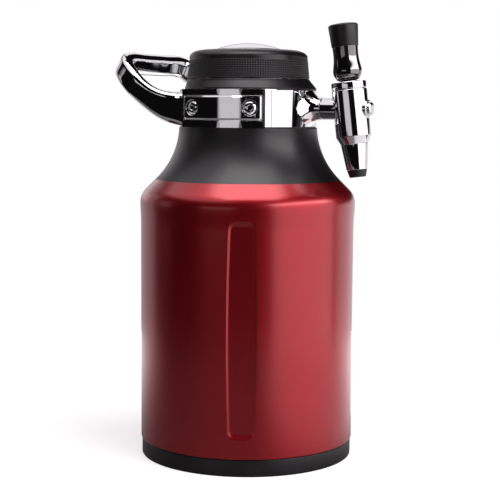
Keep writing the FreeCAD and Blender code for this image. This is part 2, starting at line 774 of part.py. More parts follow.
def collar_screws():
    """Four socket screws that hold the plates and the castings to the band."""
    tip = (band_in + band_out) / 2 - BAND_WALL / 3
    seat = head_seat()
    top = seat + SCREW_HEAD_HEIGHT
    screw = turned([
        (0, tip),
        (SCREW_SHANK_RADIUS, tip),
        (SCREW_SHANK_RADIUS, seat),
        (SCREW_HEAD_RADIUS, seat),
        (SCREW_HEAD_RADIUS, top - CASTING_BEVEL),
        (SCREW_HEAD_RADIUS - CASTING_BEVEL, top),
        (0, top),
    ])
    corner = SCREW_SOCKET_FLATS / math.sqrt(3)
    step = FULL_TURN / SCREW_SOCKET_SIDES
    points = [on_circle(corner, side * step) for side in range(SCREW_SOCKET_SIDES + 1)]
    socket = Part.Face(Part.makePolygon(points)).extrude(Z_AXIS * SCREW_HEAD_HEIGHT)
    socket.translate(Z_AXIS * (top - SCREW_SOCKET_DEPTH))
    return Part.makeCompound(screw_places(screw.cut(socket)))


def loop_height(reach):
    """Height of the loop's centreline at a distance behind the axis: a bend, then a straight climb."""
    root = collar_low + HANDLE_ROOT_HEIGHT
    bend = HANDLE_BEND_TO - HANDLE_BEND_FROM
    inside = min(max(reach - HANDLE_BEND_FROM, 0.0), bend)
    return root + HANDLE_SLOPE * (inside * inside / (2 * bend) + max(reach - HANDLE_BEND_TO, 0.0))


def loop_slope(reach):
    """Climb of the loop at a distance behind the vessel's axis, in radians."""
    bend = HANDLE_BEND_TO - HANDLE_BEND_FROM
    share = min(max(reach - HANDLE_BEND_FROM, 0.0) / bend, 1.0)
    return math.atan(HANDLE_SLOPE * share)


def loop_plan():
    """Plan of one half of the loop.

    A place is (reach, y, reach direction, y direction, distance past the casting, share of the climb that
    the section leans by).
    """
    root = math.radians(180.0 - HANDLE_ROOT_ANGLE)
    out = (math.cos(root), math.sin(root))
    arm = (1 / math.hypot(1, HANDLE_SPREAD), HANDLE_SPREAD / math.hypot(1, HANDLE_SPREAD))
    start = casting_out - HANDLE_ROOT_DEPTH
    bend_reach = HANDLE_BEND_Y / math.tan(root)
    bend_run = math.hypot(bend_reach, HANDLE_BEND_Y)
    places = []
    for share in HANDLE_FLARE_STATIONS:
        run = start + share * HANDLE_FLARE_LENGTH
        places.append((run * out[0], run * out[1], out[0], out[1], run - start, 1.0))
    blend = (out[0] + arm[0], out[1] + arm[1])
    size = math.hypot(*blend)
    eased = HANDLE_BEND_Y - HANDLE_BEND_EASE
    places.append((bend_reach, eased, blend[0] / size, blend[1] / size, bend_run - start, 1.0))
    corner_y = HANDLE_BEND_Y + (HANDLE_REACH - bend_reach) * HANDLE_SPREAD
    turn = math.pi / 2 + math.atan2(arm[1], arm[0])
    tangent = HANDLE_CORNER * math.tan(turn / 2)
    length = math.hypot(HANDLE_REACH - bend_reach, corner_y - HANDLE_BEND_Y) - tangent
    for share in HANDLE_ARM_STATIONS:
        reach = bend_reach + arm[0] * length * share
        side = HANDLE_BEND_Y + arm[1] * length * share
        places.append((reach, side, arm[0], arm[1], HANDLE_FLARE_LENGTH, 1.0))
    centre = (places[-1][0] + arm[1] * HANDLE_CORNER, places[-1][1] - arm[0] * HANDLE_CORNER)
    first = math.atan2(arm[0], -arm[1])
    for share in HANDLE_CORNER_STATIONS:
        angle = first - turn * share
        reach = centre[0] + HANDLE_CORNER * math.cos(angle)
        side = centre[1] + HANDLE_CORNER * math.sin(angle)
        lean_share = 1 - (1 - HANDLE_BAR_TILT) * share
        places.append((reach, side, math.sin(angle), -math.cos(angle), HANDLE_FLARE_LENGTH, lean_share))
    places.append((HANDLE_REACH, places[-1][1] / 2, 0.0, -1.0, HANDLE_FLARE_LENGTH, HANDLE_BAR_TILT))
    return places


def loop_section(reach, side, ahead_reach, ahead_side, past, lean_share):
    """Rounded outline of the loop across its path at one place of the plan."""
    climb = loop_slope(reach)
    up = FreeCAD.Vector(math.sin(climb * lean_share), 0, math.cos(climb * lean_share))
    ahead = FreeCAD.Vector(-ahead_reach, ahead_side, ahead_reach * math.tan(climb)).normalize()
    across = ahead.cross(up).normalize()
    share = min(max((reach - HANDLE_TAPER_FROM) / (HANDLE_TAPER_TO - HANDLE_TAPER_FROM), 0.0), 1.0)
    long = (HANDLE_ROOT_LONG + (HANDLE_LONG - HANDLE_ROOT_LONG) * share) / 2
    flare = max(1 - past / HANDLE_FLARE_LENGTH, 0.0) ** 2
    thick = (HANDLE_THICK + HANDLE_ROOT_FLARE * flare) / 2
    centre = FreeCAD.Vector(-reach, side, loop_height(reach))
    cut = HANDLE_ROUND * (1 - math.sqrt(0.5))

    def at(a, b):
        return centre + across * a + up * b

    edges = []
    signs = [(1, 1), (-1, 1), (-1, -1), (1, -1)]
    for index, (a, b) in enumerate(signs):
        next_a, next_b = signs[(index + 1) % len(signs)]
        from_side = at(a * thick, b * (long - HANDLE_ROUND))
        from_top = at(a * (thick - HANDLE_ROUND), b * long)
        corner = at(a * (thick - cut), b * (long - cut))
        if a * b > 0:
            edges.append(Part.ArcOfCircle(from_side, corner, from_top).toShape())
            edges.append(Part.makeLine(from_top, at(next_a * (thick - HANDLE_ROUND), next_b * long)))
        else:
            edges.append(Part.ArcOfCircle(from_top, corner, from_side).toShape())
            edges.append(Part.makeLine(from_side, at(next_a * thick, next_b * (long - HANDLE_ROUND))))
    return Part.Wire(edges)


def handle_loop():
    """The whole loop: one skin through the sections of both halves."""
    half = loop_plan()
    middle = (HANDLE_REACH, 0.0, 0.0, -1.0, HANDLE_FLARE_LENGTH, HANDLE_BAR_TILT)
    other = [(reach, -side, -ahead, *rest) for reach, side, ahead, *rest in reversed(half)]
    wires = [loop_section(*place) for place in half + [middle] + other]
    return Part.makeLoft(wires, True, False).cut(disc(casting_in, collar_low, collar_high))


def handle_frame():
    """Rear casting: two thirds of the ring, raised sides with plate pockets, and the loop handle."""
    gap = math.degrees(SEAT_GAP / 2 / casting_out)
    frame = casting_sector(SEAM_ANGLE + gap, FULL_TURN - SEAM_ANGLE - gap)
    frame = frame.fuse([side_pad(), mirrored(side_pad()), handle_loop()])
    low, high = plate_levels()
    start = PLATE_ANGLE - math.degrees(EDGE_GAP / pad_out)
    length = PLATE_LENGTH + EDGE_GAP
    back = plate_seat() - FIT_GAP / 2
    pocket = side_prism(2 * pad_out, back, start, length, low - EDGE_GAP, high + EDGE_GAP)
    frame = frame.cut([pocket, mirrored(pocket)])
    counterbore = disc(SCREW_POCKET_RADIUS, head_seat(), 2 * pad_out)
    shank = disc(SCREW_SHANK_RADIUS + RUN_GAP, 0, 2 * pad_out)
    return frame.cut(screw_places(counterbore) + screw_places(shank)).removeSplitter()


def neck_skirt():
    """Black ring above the collar, flared lopsidedly towards the tap."""
    foot_centre = FreeCAD.Vector(SKIRT_FOOT_SHIFT, 0, skirt_low)
    foot = Part.Wire(Part.makeCircle(SKIRT_FOOT_RADIUS, foot_centre, Z_AXIS))
    head = Part.Wire(Part.makeCircle(SKIRT_TOP_RADIUS, FreeCAD.Vector(0, 0, skirt_high), Z_AXIS))
    form = Part.makeLoft([foot, head], True, True)
    bore = disc(FINISH_RADIUS + SKIRT_BORE_GAP, skirt_low, skirt_high)
    step = disc(NECK_RADIUS + SEAT_GAP, skirt_low, flange_top + SEAT_GAP)
    return form.cut(bore).cut(step)


# ---- beer way ---------------------------------------------------------------------------------------
def port_end():
    """Outer end of the port's bush, just inside the castings."""
    return math.sqrt(casting_in ** 2 - PORT_RADIUS ** 2) - 2 * FIT_GAP


def neck_port():
    """Bush through the neck's two walls, with a barb inside and a socket for the shank outside."""
    end = port_end()
    socket = end - PORT_SOCKET_DEPTH
    return along_x(turned([
        (PORT_BORE, PORT_INNER_END - BARB_LENGTH),
        (BARB_RADIUS, PORT_INNER_END - BARB_LENGTH),
        (BARB_RADIUS, PORT_INNER_END),
        (PORT_RADIUS, PORT_INNER_END),
        (PORT_RADIUS, end),
        (SHANK_RADIUS + FIT_GAP, end),
        (SHANK_RADIUS + FIT_GAP, socket),
        (PORT_BORE, socket),
    ]))


def shank_seal():
    """Rubber washer at the bottom of the port's socket."""
    low = port_end() - PORT_SOCKET_DEPTH
    return along_x(ring(SHANK_BORE, SHANK_RADIUS, low, low + SHANK_SEAL))


def tap_shank():
    """Threaded tube that draws the tap against the trumpet."""
    low = port_end() - PORT_SOCKET_DEPTH + SHANK_SEAL
    return along_x(ring(SHANK_BORE, SHANK_RADIUS, low, shank_end))


def dip_elbow():
    """Moulded elbow from the port's barb down to the dip tube."""
    centre = FreeCAD.Vector(ELBOW_AXIS, 0, port_level)
    mouth = PORT_INNER_END - FIT_GAP
    foot = port_level - ELBOW_DROP
    form = along_x(disc(ELBOW_RADIUS, ELBOW_AXIS, mouth))
    form = form.fuse(Part.makeSphere(ELBOW_RADIUS, centre))
    form = form.fuse(Part.makeCylinder(ELBOW_RADIUS, ELBOW_DROP, FreeCAD.Vector(ELBOW_AXIS, 0, foot), Z_AXIS))
    barb = along_x(disc(BARB_RADIUS + RUN_GAP, PORT_INNER_END - BARB_LENGTH - SEAT_GAP, mouth))
    way = along_x(disc(DIP_BORE, ELBOW_AXIS, mouth))
    mouth_centre = FreeCAD.Vector(ELBOW_AXIS, 0, foot)
    drop = Part.makeCylinder(DIP_BORE, ELBOW_DROP, mouth_centre, Z_AXIS)
    socket = Part.makeCylinder(DIP_RADIUS + RUN_GAP, ELBOW_DROP / 2, mouth_centre, Z_AXIS)
    return form.cut([barb, way, drop, socket]).removeSplitter()


def dip_tube():
    """Straight tube from the elbow nearly down to the floor."""
    low = liner_floor + LINER_WALL + DIP_CLEAR
    high = port_level - ELBOW_DROP / 2
    foot = FreeCAD.Vector(ELBOW_AXIS, 0, low)
    tube = Part.makeCylinder(DIP_RADIUS, high - low, foot, Z_AXIS)
    return tube.cut(Part.makeCylinder(DIP_BORE, high - low, foot, Z_AXIS))


# ---- tap --------------------------------------------------------------------------------------------
def tap_body():
    """Leaning tap body with its rear spigot, front boss, valve chamber and upright cavity."""
    barrel = on_tap(turned([
        (0, TAP_CONE_END),
        (TAP_CONE_RADIUS, TAP_CONE_END),
        (TAP_RADIUS, TAP_FOOT),
        (TAP_RADIUS, TAP_TOP),
        (0, TAP_TOP),
    ]))
    spigot = along_x(disc(SPIGOT_RADIUS, trumpet_end + RUN_GAP, tap_reach))
    plug = along_x(disc(SPIGOT_PLUG_RADIUS, trumpet_end - SPIGOT_DEPTH, tap_reach))
    boss = along_x(disc(BOSS_RADIUS, tap_reach, boss_face))
    form = barrel.fuse([spigot, plug, boss])
    hollows = [
        on_tap(disc(TAP_CAVITY, TAP_CONE_END, TAP_TOP)),
        along_x(disc(SHANK_RADIUS + RUN_GAP, 0, shank_end)),
        along_x(disc(CHAMBER_RADIUS, shank_end, chamber_end)),
        along_x(disc(SEAT_BORE, 0, tap_reach)),
        along_x(disc(PLUG_RADIUS + RUN_GAP, tap_reach, 2 * tap_reach)),
    ]
    return form.cut(hollows).removeSplitter()


def front_plug():
    """Chrome plug in the front boss that guides the valve's rod."""
    end = boss_face + PLUG_PROUD
    start = end - PLUG_LENGTH
    rim = end - PLUG_DOME
    bore = FRONT_ROD_RADIUS + RUN_GAP
    bottom = front_rod_end + MOVE_GAP
    return along_x(turned([
        (bore, start),
        (PLUG_RADIUS, start),
        (PLUG_RADIUS, rim),
        dome(PLUG_RADIUS, rim, PLUG_DOME),
        (0, bottom),
        (bore, bottom),
    ]))


def tap_bonnet():
    """Ring on the tap's top with a funnel for the lever and a cross bore for its pin."""
    step = TAP_TOP + BONNET_STEP
    top = TAP_TOP + BONNET_HEIGHT
    form = on_tap(turned([
        (TAP_CAVITY, TAP_TOP),
        (BONNET_RADIUS, TAP_TOP),
        (BONNET_RADIUS, top - CASTING_BEVEL),
        (BONNET_RADIUS - CASTING_BEVEL, top),
        (FUNNEL_HIGH, top),
        (FUNNEL_LOW, step),
        (TAP_CAVITY, step),
    ]))
    return form.cut(cross_pin(PIVOT_PIN_RADIUS + RUN_GAP / 2, 2 * BONNET_RADIUS))


def cross_pin(radius, length):
    """Cylinder across the tap at the lever's pivot."""
    start = pivot - Y_AXIS * (length / 2)
    return Part.makeCylinder(radius, length, start, Y_AXIS)


def pivot_pin():
    """Steel pin that the lever's ball turns on."""
    return cross_pin(PIVOT_PIN_RADIUS, 2 * (BONNET_RADIUS - CASTING_BEVEL))


def lever_seal():
    """Rubber ring that the lever's ball is sealed against."""
    top = TAP_TOP - SEAT_GAP
    return on_tap(ring(SEAL_BORE, TAP_CAVITY, top - SEAL_HEIGHT, top))


def tap_spout():
    """Tapered spout, screwed into the tap's foot."""
    end = TAP_CONE_END - SPOUT_LENGTH
    return on_tap(turned([
        (SPOUT_BORE, end),
        (SPOUT_END_RADIUS, end),
        (TAP_CONE_RADIUS, TAP_CONE_END),
        (TAP_CAVITY - FIT_GAP, TAP_CONE_END),
        (TAP_CAVITY - FIT_GAP, TAP_CONE_END + SPOUT_PLUG),
        (SPOUT_BORE, TAP_CONE_END + SPOUT_PLUG),
    ]))


def spout_tip():
    """Black nozzle pushed into the spout's end."""
    top = TAP_CONE_END - SPOUT_LENGTH
    end = top - TIP_LENGTH
    return on_tap(turned([
        (TIP_BORE, end),
        (TIP_END_RADIUS, end),
        (TIP_RADIUS, top),
        (SPOUT_BORE - RUN_GAP, top),
        (SPOUT_BORE - RUN_GAP, top + TIP_PLUG),
        (TIP_BORE, top + TIP_PLUG),
    ]))


# ---- lever ------------------------------------------------------------------------------------------
def lever_stem():
    """Steel stem: a ball on the pivot pin, a rod up into the grip and a finger down to the valve."""
    ball = on_tap(Part.makeSphere(BALL_RADIUS, Z_AXIS * PIVOT_HEIGHT))
    rod = on_tap(disc(STEM_RADIUS, PIVOT_HEIGHT, STEM_TOP))
    finger = on_tap(disc(FINGER_RADIUS, 0, PIVOT_HEIGHT))
    tip = Part.makeSphere(FINGER_TIP_RADIUS, tap_centre)
    stem = ball.fuse([rod, finger, tip])
    return stem.cut(cross_pin(PIVOT_PIN_RADIUS + RUN_GAP, 2 * TAP_RADIUS)).removeSplitter()


def lever_grip():
    """Glossy waisted grip over the stem, hollowed below to clear the ball."""
    bore = STEM_RADIUS + RUN_GAP
    side = Part.BSplineCurve()
    side.interpolate([FreeCAD.Vector(r, 0, h) for r, h in (GRIP_HEEL, GRIP_BULGE, GRIP_WAIST, GRIP_TOP)])
    corners = [
        GRIP_TOP,
        (bore, GRIP_TOP[1]),
        (bore, GRIP_POCKET_TOP),
        (GRIP_POCKET, GRIP_POCKET_TOP),
        (GRIP_POCKET, GRIP_FOOT[1] - (GRIP_FOOT[0] - GRIP_POCKET) / 2),
        GRIP_FOOT,
        GRIP_HEEL,
    ]
    points = [FreeCAD.Vector(r, 0, h) for r, h in corners]
    edges = [side.toShape()]
    for here, there in zip(points, points[1:]):
        edges.append(Part.makeLine(here, there))
    return on_tap(Part.Face(Part.Wire(edges)).revolve(ORIGIN, Z_AXIS, FULL_TURN))


def lever_cap():
    """Matte flared cap on the lever's end."""
    low = GRIP_TOP[1]
    rim = low + LEVER_CAP_HEIGHT
    bore = STEM_RADIUS + RUN_GAP
    return on_tap(turned([
        (bore, low),
        (LEVER_CAP_FOOT, low),
        (LEVER_CAP_TOP, rim - LEVER_CAP_BEVEL),
        (LEVER_CAP_TOP - LEVER_CAP_BEVEL, rim),
        dome(LEVER_CAP_TOP - LEVER_CAP_BEVEL, rim, LEVER_CAP_DOME),
        (0, STEM_TOP + SEAT_GAP),
        (bore, STEM_TOP + SEAT_GAP),
    ]))


# ---- valve ------------------------------------------------------------------------------------------
def valve_face():
    """Place along the shank of the closed valve's sealing face."""
    return chamber_end - FIT_GAP


def valve_plunger():
    """Head, rod, slotted block for the lever's finger and guided front rod, in one piece."""
    back = valve_face() - VALVE_SEAL - HEAD_THICK
    block_low = tap_reach - BLOCK_LENGTH / 2
    block_high = tap_reach + BLOCK_LENGTH / 2
    form = along_x(turned([
        (0, back),
        (HEAD_RADIUS, back),
        (HEAD_RADIUS, back + HEAD_THICK),
        (ROD_RADIUS, back + HEAD_THICK),
        (ROD_RADIUS, block_low),
        (BLOCK_RADIUS, block_low),
        (BLOCK_RADIUS, block_high),
        (FRONT_ROD_RADIUS, block_high),
        (FRONT_ROD_RADIUS, front_rod_end),
        (0, front_rod_end),
    ]))
    half = SLOT_WIDTH / 2
    corner = FreeCAD.Vector(tap_reach - half, -half, port_level - half)
    slot = Part.makeBox(SLOT_WIDTH, SLOT_WIDTH, SLOT_WIDTH + BLOCK_RADIUS, corner)
    over = FreeCAD.Vector(block_low, -BLOCK_RADIUS, port_level + BLOCK_FLAT)
    flat = Part.makeBox(BLOCK_LENGTH, 2 * BLOCK_RADIUS, BLOCK_RADIUS, over)
    return form.cut(slot).cut(flat)


def valve_seal():
    """Rubber ring on the plunger's head."""
    high = valve_face()
    return along_x(ring(ROD_RADIUS, HEAD_RADIUS, high - VALVE_SEAL, high))


# ---- cap --------------------------------------------------------------------------------------------
def cap_gasket():
    """Rubber ring on the neck's rim."""
    return ring(NECK_BORE, FINISH_RADIUS + GASKET_OVERHANG, rim_level, gasket_top)


def slip_washer():
    """Slippery ring that lets the cap turn on its gasket."""
    return ring(NECK_BORE, FINISH_RADIUS + GASKET_OVERHANG, gasket_top, ceiling)


def cap_shell():
    """Screw cap: gripped side, rounded top edge, well for the dial and a bore for its screw."""
    bore = FINISH_RADIUS + CAP_BORE_GAP
    round_middle = (
        CAP_ROUND_RADIUS + (CAP_TOP_RADIUS - CAP_ROUND_RADIUS) * math.sqrt(0.5),
        cap_side_top + CAP_ROUND_HEIGHT * math.sqrt(0.5),
    )
    form = turned([
        (bore, cap_low),
        (CAP_RADIUS, cap_low),
        (CAP_TOP_RADIUS, cap_side_top),
        (round_middle, (CAP_ROUND_RADIUS, cap_top)),
        (DIAL_RADIUS + MOVE_GAP, cap_top),
        (DIAL_RADIUS + MOVE_GAP, dial_floor),
        (SCREW_NECK + RUN_GAP, dial_floor),
        (SCREW_NECK + RUN_GAP, ceiling),
        (bore, ceiling),
    ])
    return form


def pressure_dial():
    """Low chrome dome that sets the pressure, keyed on the adjusting screw."""
    rim = dial_low + DIAL_EDGE
    return turned([
        (0, dial_low + SCREW_SPIGOT_LENGTH),
        (SCREW_SPIGOT + RUN_GAP, dial_low + SCREW_SPIGOT_LENGTH),
        (SCREW_SPIGOT + RUN_GAP, dial_low),
        (DIAL_RADIUS, dial_low),
        (DIAL_RADIUS, rim),
        dome(DIAL_RADIUS, rim, DIAL_RISE - DIAL_EDGE),
    ])


def collar_top():
    """Top of the adjusting screw's collar, just below the cap's ceiling."""
    return ceiling - SEAT_GAP


def dial_screw():
    """Adjusting screw below the dial: spigot, neck, collar and thread."""
    top = collar_top()
    low = top - SCREW_COLLAR_THICK
    return turned([
        (0, low - SCREW_LENGTH),
        (SCREW_RADIUS, low - SCREW_LENGTH),
        (SCREW_RADIUS, low),
        (SCREW_COLLAR, low),
        (SCREW_COLLAR, top),
        (SCREW_NECK, top),
        (SCREW_NECK, dial_low - RUN_GAP),
        (SCREW_SPIGOT, dial_low - RUN_GAP),
        (SCREW_SPIGOT, dial_low + SCREW_SPIGOT_LENGTH - FIT_GAP),
        (0, dial_low + SCREW_SPIGOT_LENGTH - FIT_GAP),
    ])


def cavity_floor():
    """Bottom of the regulator's spring cavity."""
    return regulator_top - REGULATOR_CAVITY_DEPTH


def well_floor():
    """Bottom of the regulator's check valve well."""
    return cavity_floor() - REGULATOR_WELL_DEPTH


def nozzle_foot():
    """Lower end of the regulator's nozzle."""
    return regulator_low - REGULATOR_CONE - NOZZLE_LENGTH


def regulator_body():
    """Turned brass body below the cap: flange, barrel, cone and nozzle, bored for its inner pieces."""
    cone_foot = regulator_low - REGULATOR_CONE
    foot = nozzle_foot()
    form = turned([
        (REGULATOR_PASSAGE, foot + NOZZLE_BORE_DEPTH),
        (NOZZLE_BORE, foot + NOZZLE_BORE_DEPTH),
        (NOZZLE_BORE, foot),
        (NOZZLE_RADIUS, foot),
        (NOZZLE_RADIUS, cone_foot),
        (NOZZLE_RADIUS + HOLDER_WALL + MOVE_GAP, cone_foot),
        (REGULATOR_RADIUS, regulator_low),
        (REGULATOR_RADIUS, regulator_top - REGULATOR_FLANGE_THICK),
        (REGULATOR_FLANGE, regulator_top - REGULATOR_FLANGE_THICK),
        (REGULATOR_FLANGE, regulator_top),
        (REGULATOR_CAVITY, regulator_top),
        (REGULATOR_CAVITY, cavity_floor()),
        (REGULATOR_WELL, cavity_floor()),
        (REGULATOR_WELL, well_floor()),
        (REGULATOR_PASSAGE, well_floor()),
    ])
    return form.cut(relief_cylinder(RELIEF_RADIUS + RUN_GAP))


def relief_cylinder(radius):
    """Upright cylinder at the relief valve's place in the regulator."""
    foot = FreeCAD.Vector(-RELIEF_OFFSET, 0, regulator_top - RELIEF_LENGTH)
    return Part.makeCylinder(radius, RELIEF_LENGTH, foot, Z_AXIS)


def diaphragm():
    """Rubber disc on the floor of the spring cavity."""
    low = cavity_floor()
    return disc(REGULATOR_CAVITY - FIT_GAP, low, low + DIAPHRAGM_THICK)


def nut_level():
    """Underside of the spring's seat with the dial at rest."""
    return cavity_floor() + DIAPHRAGM_THICK + NUT_HEIGHT


def spring_seat():
    """Nut on the adjusting screw that the spring bears on; it slides without turning."""
    low = nut_level()
    return ring(SCREW_RADIUS + RUN_GAP, REGULATOR_CAVITY - MOVE_GAP, low, low + NUT_THICK)


def regulator_spring():
    """Coil spring between the diaphragm and its seat."""
    low = cavity_floor() + DIAPHRAGM_THICK + SPRING_WIRE
    pitch = (NUT_HEIGHT - 2 * SPRING_WIRE) / SPRING_TURNS
    along = FreeCAD.Vector(0, 2 * math.pi * SPRING_RADIUS, pitch)
    start = Part.Wire(Part.makeCircle(SPRING_WIRE, FreeCAD.Vector(SPRING_RADIUS, 0, low), along))
    rings = []
    for station in range(SPRING_TURNS * SPRING_STATIONS + 1):
        ring = start.copy()
        ring.rotate(ORIGIN, Z_AXIS, FULL_TURN / SPRING_STATIONS * station)
        ring.translate(Z_AXIS * (pitch / SPRING_STATIONS * station))
        rings.append(ring)
    return Part.makeLoft(rings, True, True)


def check_valve():
    """Poppet in the well below the diaphragm."""
    low = well_floor()
    return turned([
        (0, low),
        (CHECK_RADIUS, low),
        (CHECK_RADIUS, low + CHECK_HEIGHT),
        (CHECK_STEM, low + CHECK_HEIGHT),
        (CHECK_STEM, cavity_floor() - RUN_GAP),
        (0, cavity_floor() - RUN_GAP),
    ])


def relief_valve():
    """Brass relief valve in the regulator's side."""
    return relief_cylinder(RELIEF_RADIUS)


# ---- gas cartridge ----------------------------------------------------------------------------------
def cartridge_top():
    """Top of the cartridge's neck, inside the nozzle."""
    return nozzle_foot() + CARTRIDGE_ENTRY


def co2_cartridge():
    """Steel gas cartridge with a pierced neck."""
    top = cartridge_top()
    neck_foot = top - CARTRIDGE_NECK_LENGTH
    shoulder = neck_foot - CARTRIDGE_SHOULDER
    low = top - CARTRIDGE_LENGTH
    turn = math.sqrt(0.5)
    inner = CARTRIDGE_RADIUS - CARTRIDGE_WALL
    bottom = low + CARTRIDGE_RADIUS
    return turned([
        (0, low),
        ((CARTRIDGE_RADIUS * turn, bottom - CARTRIDGE_RADIUS * turn), (CARTRIDGE_RADIUS, bottom)),
        (CARTRIDGE_RADIUS, shoulder),
        (CARTRIDGE_NECK, neck_foot),
        (CARTRIDGE_NECK, top),
        (PIERCED_HOLE, top),
        (PIERCED_HOLE, neck_foot),
        (inner, shoulder - CARTRIDGE_WALL),
        (inner, bottom),
        ((inner * turn, bottom - inner * turn), (0, bottom - inner)),
    ])


def seal_top():
    """Top of the cartridge's seal."""
    return cartridge_top() + CARTRIDGE_SEAL + RUN_GAP


def cartridge_seal():
    """Rubber ring that the cartridge's neck is pressed against."""
    return ring(NEEDLE_RADIUS + FIT_GAP, NOZZLE_BORE - FIT_GAP, cartridge_top() + RUN_GAP, seal_top())


def pierce_pin():
    """Hollow needle with its base, in the nozzle's bore."""
    low = cartridge_top() - NEEDLE_DEPTH
    base = seal_top()
    top = nozzle_foot() + NOZZLE_BORE_DEPTH
    return turned([
        (NEEDLE_RADIUS / 2, low),
        (NEEDLE_RADIUS, low),
        (NEEDLE_RADIUS, base),
        (NOZZLE_BORE - FIT_GAP, base),
        (NOZZLE_BORE - FIT_GAP, top),
        (NEEDLE_RADIUS / 2, top),
    ])


def cartridge_holder():
    """Closed tube that carries the cartridge and screws on the nozzle."""
    top = nozzle_foot() + HOLDER_GRIP
    step = nozzle_foot() - SEAT_GAP
    floor = cartridge_top() - CARTRIDGE_LENGTH
    outer = NOZZLE_RADIUS + HOLDER_WALL
    return turned([
        (0, floor - HOLDER_FLOOR),
        (outer, floor - HOLDER_FLOOR),
        (outer, top),
        (NOZZLE_RADIUS + FIT_GAP, top),
        (NOZZLE_RADIUS + FIT_GAP, step),
        (CARTRIDGE_RADIUS + MOVE_GAP, step),
        (CARTRIDGE_RADIUS + MOVE_GAP, floor),
        (0, floor),
    ])


# ---- all nodes --------------------------------------------------------------------------------------
NODES = {
    "base_boot": base_boot,
    "outer_shell": outer_shell,
    "shoulder_sleeve": shoulder_sleeve,
    "inner_vessel": inner_vessel,
    "collar_lining": collar_lining,
    "clamp_band": clamp_band,
    "tap_block": tap_block,
    "handle_frame": handle_frame,
    "side_plate_left": lambda: mirrored(side_plate()),
    "side_plate_right": side_plate,
    "collar_screws": collar_screws,
    "neck_skirt": neck_skirt,
    "neck_port": neck_port,
    "shank_seal": shank_seal,
    "tap_shank": tap_shank,
    "dip_elbow": dip_elbow,
    "dip_tube": dip_tube,
    "tap_body": tap_body,
    "front_plug": front_plug,
    "tap_bonnet": tap_bonnet,
    "pivot_pin": pivot_pin,
    "lever_seal": lever_seal,
    "tap_spout": tap_spout,
    "spout_tip": spout_tip,
    "lever_stem": lever_stem,
    "lever_grip": lever_grip,
    "lever_cap": lever_cap,
    "valve_plunger": valve_plunger,
    "valve_seal": valve_seal,
    "cap_gasket": cap_gasket,
    "slip_washer": slip_washer,
    "cap_shell": cap_shell,
    "pressure_dial": pressure_dial,
    "dial_screw": dial_screw,
    "regulator_body": regulator_body,
    "diaphragm": diaphragm,
    "spring_seat": spring_seat,
    "regulator_spring": regulator_spring,
    "check_valve": check_valve,
    "relief_valve": relief_valve,
    "co2_cartridge": co2_cartridge,
    "cartridge_seal": cartridge_seal,
    "pierce_pin": pierce_pin,
    "cartridge_holder": cartridge_holder,
}

os.makedirs("parts", exist_ok=True)
for node, build in NODES.items():
    export(build(), node)
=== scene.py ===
import json
import logging
import math
from dataclasses import dataclass
from enum import Enum
from typing import Any, Callable, ClassVar, Sequence

import bmesh
import bpy
import numpy as np
from mathutils import Matrix

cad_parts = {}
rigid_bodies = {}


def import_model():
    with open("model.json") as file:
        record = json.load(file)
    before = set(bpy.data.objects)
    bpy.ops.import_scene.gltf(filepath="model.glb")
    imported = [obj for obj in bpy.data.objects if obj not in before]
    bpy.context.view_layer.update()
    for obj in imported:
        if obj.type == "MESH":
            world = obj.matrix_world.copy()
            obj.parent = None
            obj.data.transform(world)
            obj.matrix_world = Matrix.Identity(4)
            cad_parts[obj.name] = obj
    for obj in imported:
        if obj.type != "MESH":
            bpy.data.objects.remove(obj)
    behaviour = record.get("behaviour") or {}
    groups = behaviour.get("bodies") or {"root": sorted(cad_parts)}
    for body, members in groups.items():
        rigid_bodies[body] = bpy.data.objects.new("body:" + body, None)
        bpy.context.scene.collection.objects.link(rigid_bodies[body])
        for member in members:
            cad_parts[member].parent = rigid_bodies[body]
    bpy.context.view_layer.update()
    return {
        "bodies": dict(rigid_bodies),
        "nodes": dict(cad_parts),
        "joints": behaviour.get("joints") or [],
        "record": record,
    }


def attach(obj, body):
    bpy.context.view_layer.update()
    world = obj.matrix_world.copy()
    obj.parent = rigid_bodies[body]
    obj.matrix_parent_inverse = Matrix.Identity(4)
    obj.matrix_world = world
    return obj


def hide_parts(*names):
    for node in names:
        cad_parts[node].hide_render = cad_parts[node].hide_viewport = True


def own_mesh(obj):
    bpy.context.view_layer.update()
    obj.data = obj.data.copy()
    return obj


log = logging.getLogger("drink_dispenser")
Colour = tuple[float, float, float]
Array = np.ndarray
MM = 0.001
ON_AXIS = 1e-6
BLACK: Colour = (0.0, 0.0, 0.0)
WHITE: Colour = (1.0, 1.0, 1.0)


def linear(red: int, green: int, blue: int) -> Colour:
    """Linear values of a screen colour: v / 12.92 up to 0.04045, else ((v + 0.055) / 1.055) ^ 2.4."""
    levels = (red / 255, green / 255, blue / 255)
    return tuple(v / 12.92 if v <= 0.04045 else ((v + 0.055) / 1.055) ** 2.4 for v in levels)


# ---------------------------------------------------------------- shader maths


def operator(operation: str, swapped: bool = False) -> Callable[..., "Signal"]:
    """Makes a method of a signal that adds one Math node.

    Args:
        operation: The Math node's operation.
        swapped: True for a reflected form, in which the signal comes after its operand.

    Returns:
        The method: it takes the other operands, signals or plain numbers, and gives the node's result.
    """

    def result(self: "Signal", *others: "Signal | float") -> "Signal":
        """Adds the Math node."""
        values = (*others, self) if swapped else (self, *others)
        return self.paint.node("ShaderNodeMath", {"operation": operation}, dict(enumerate(values)))

    return result


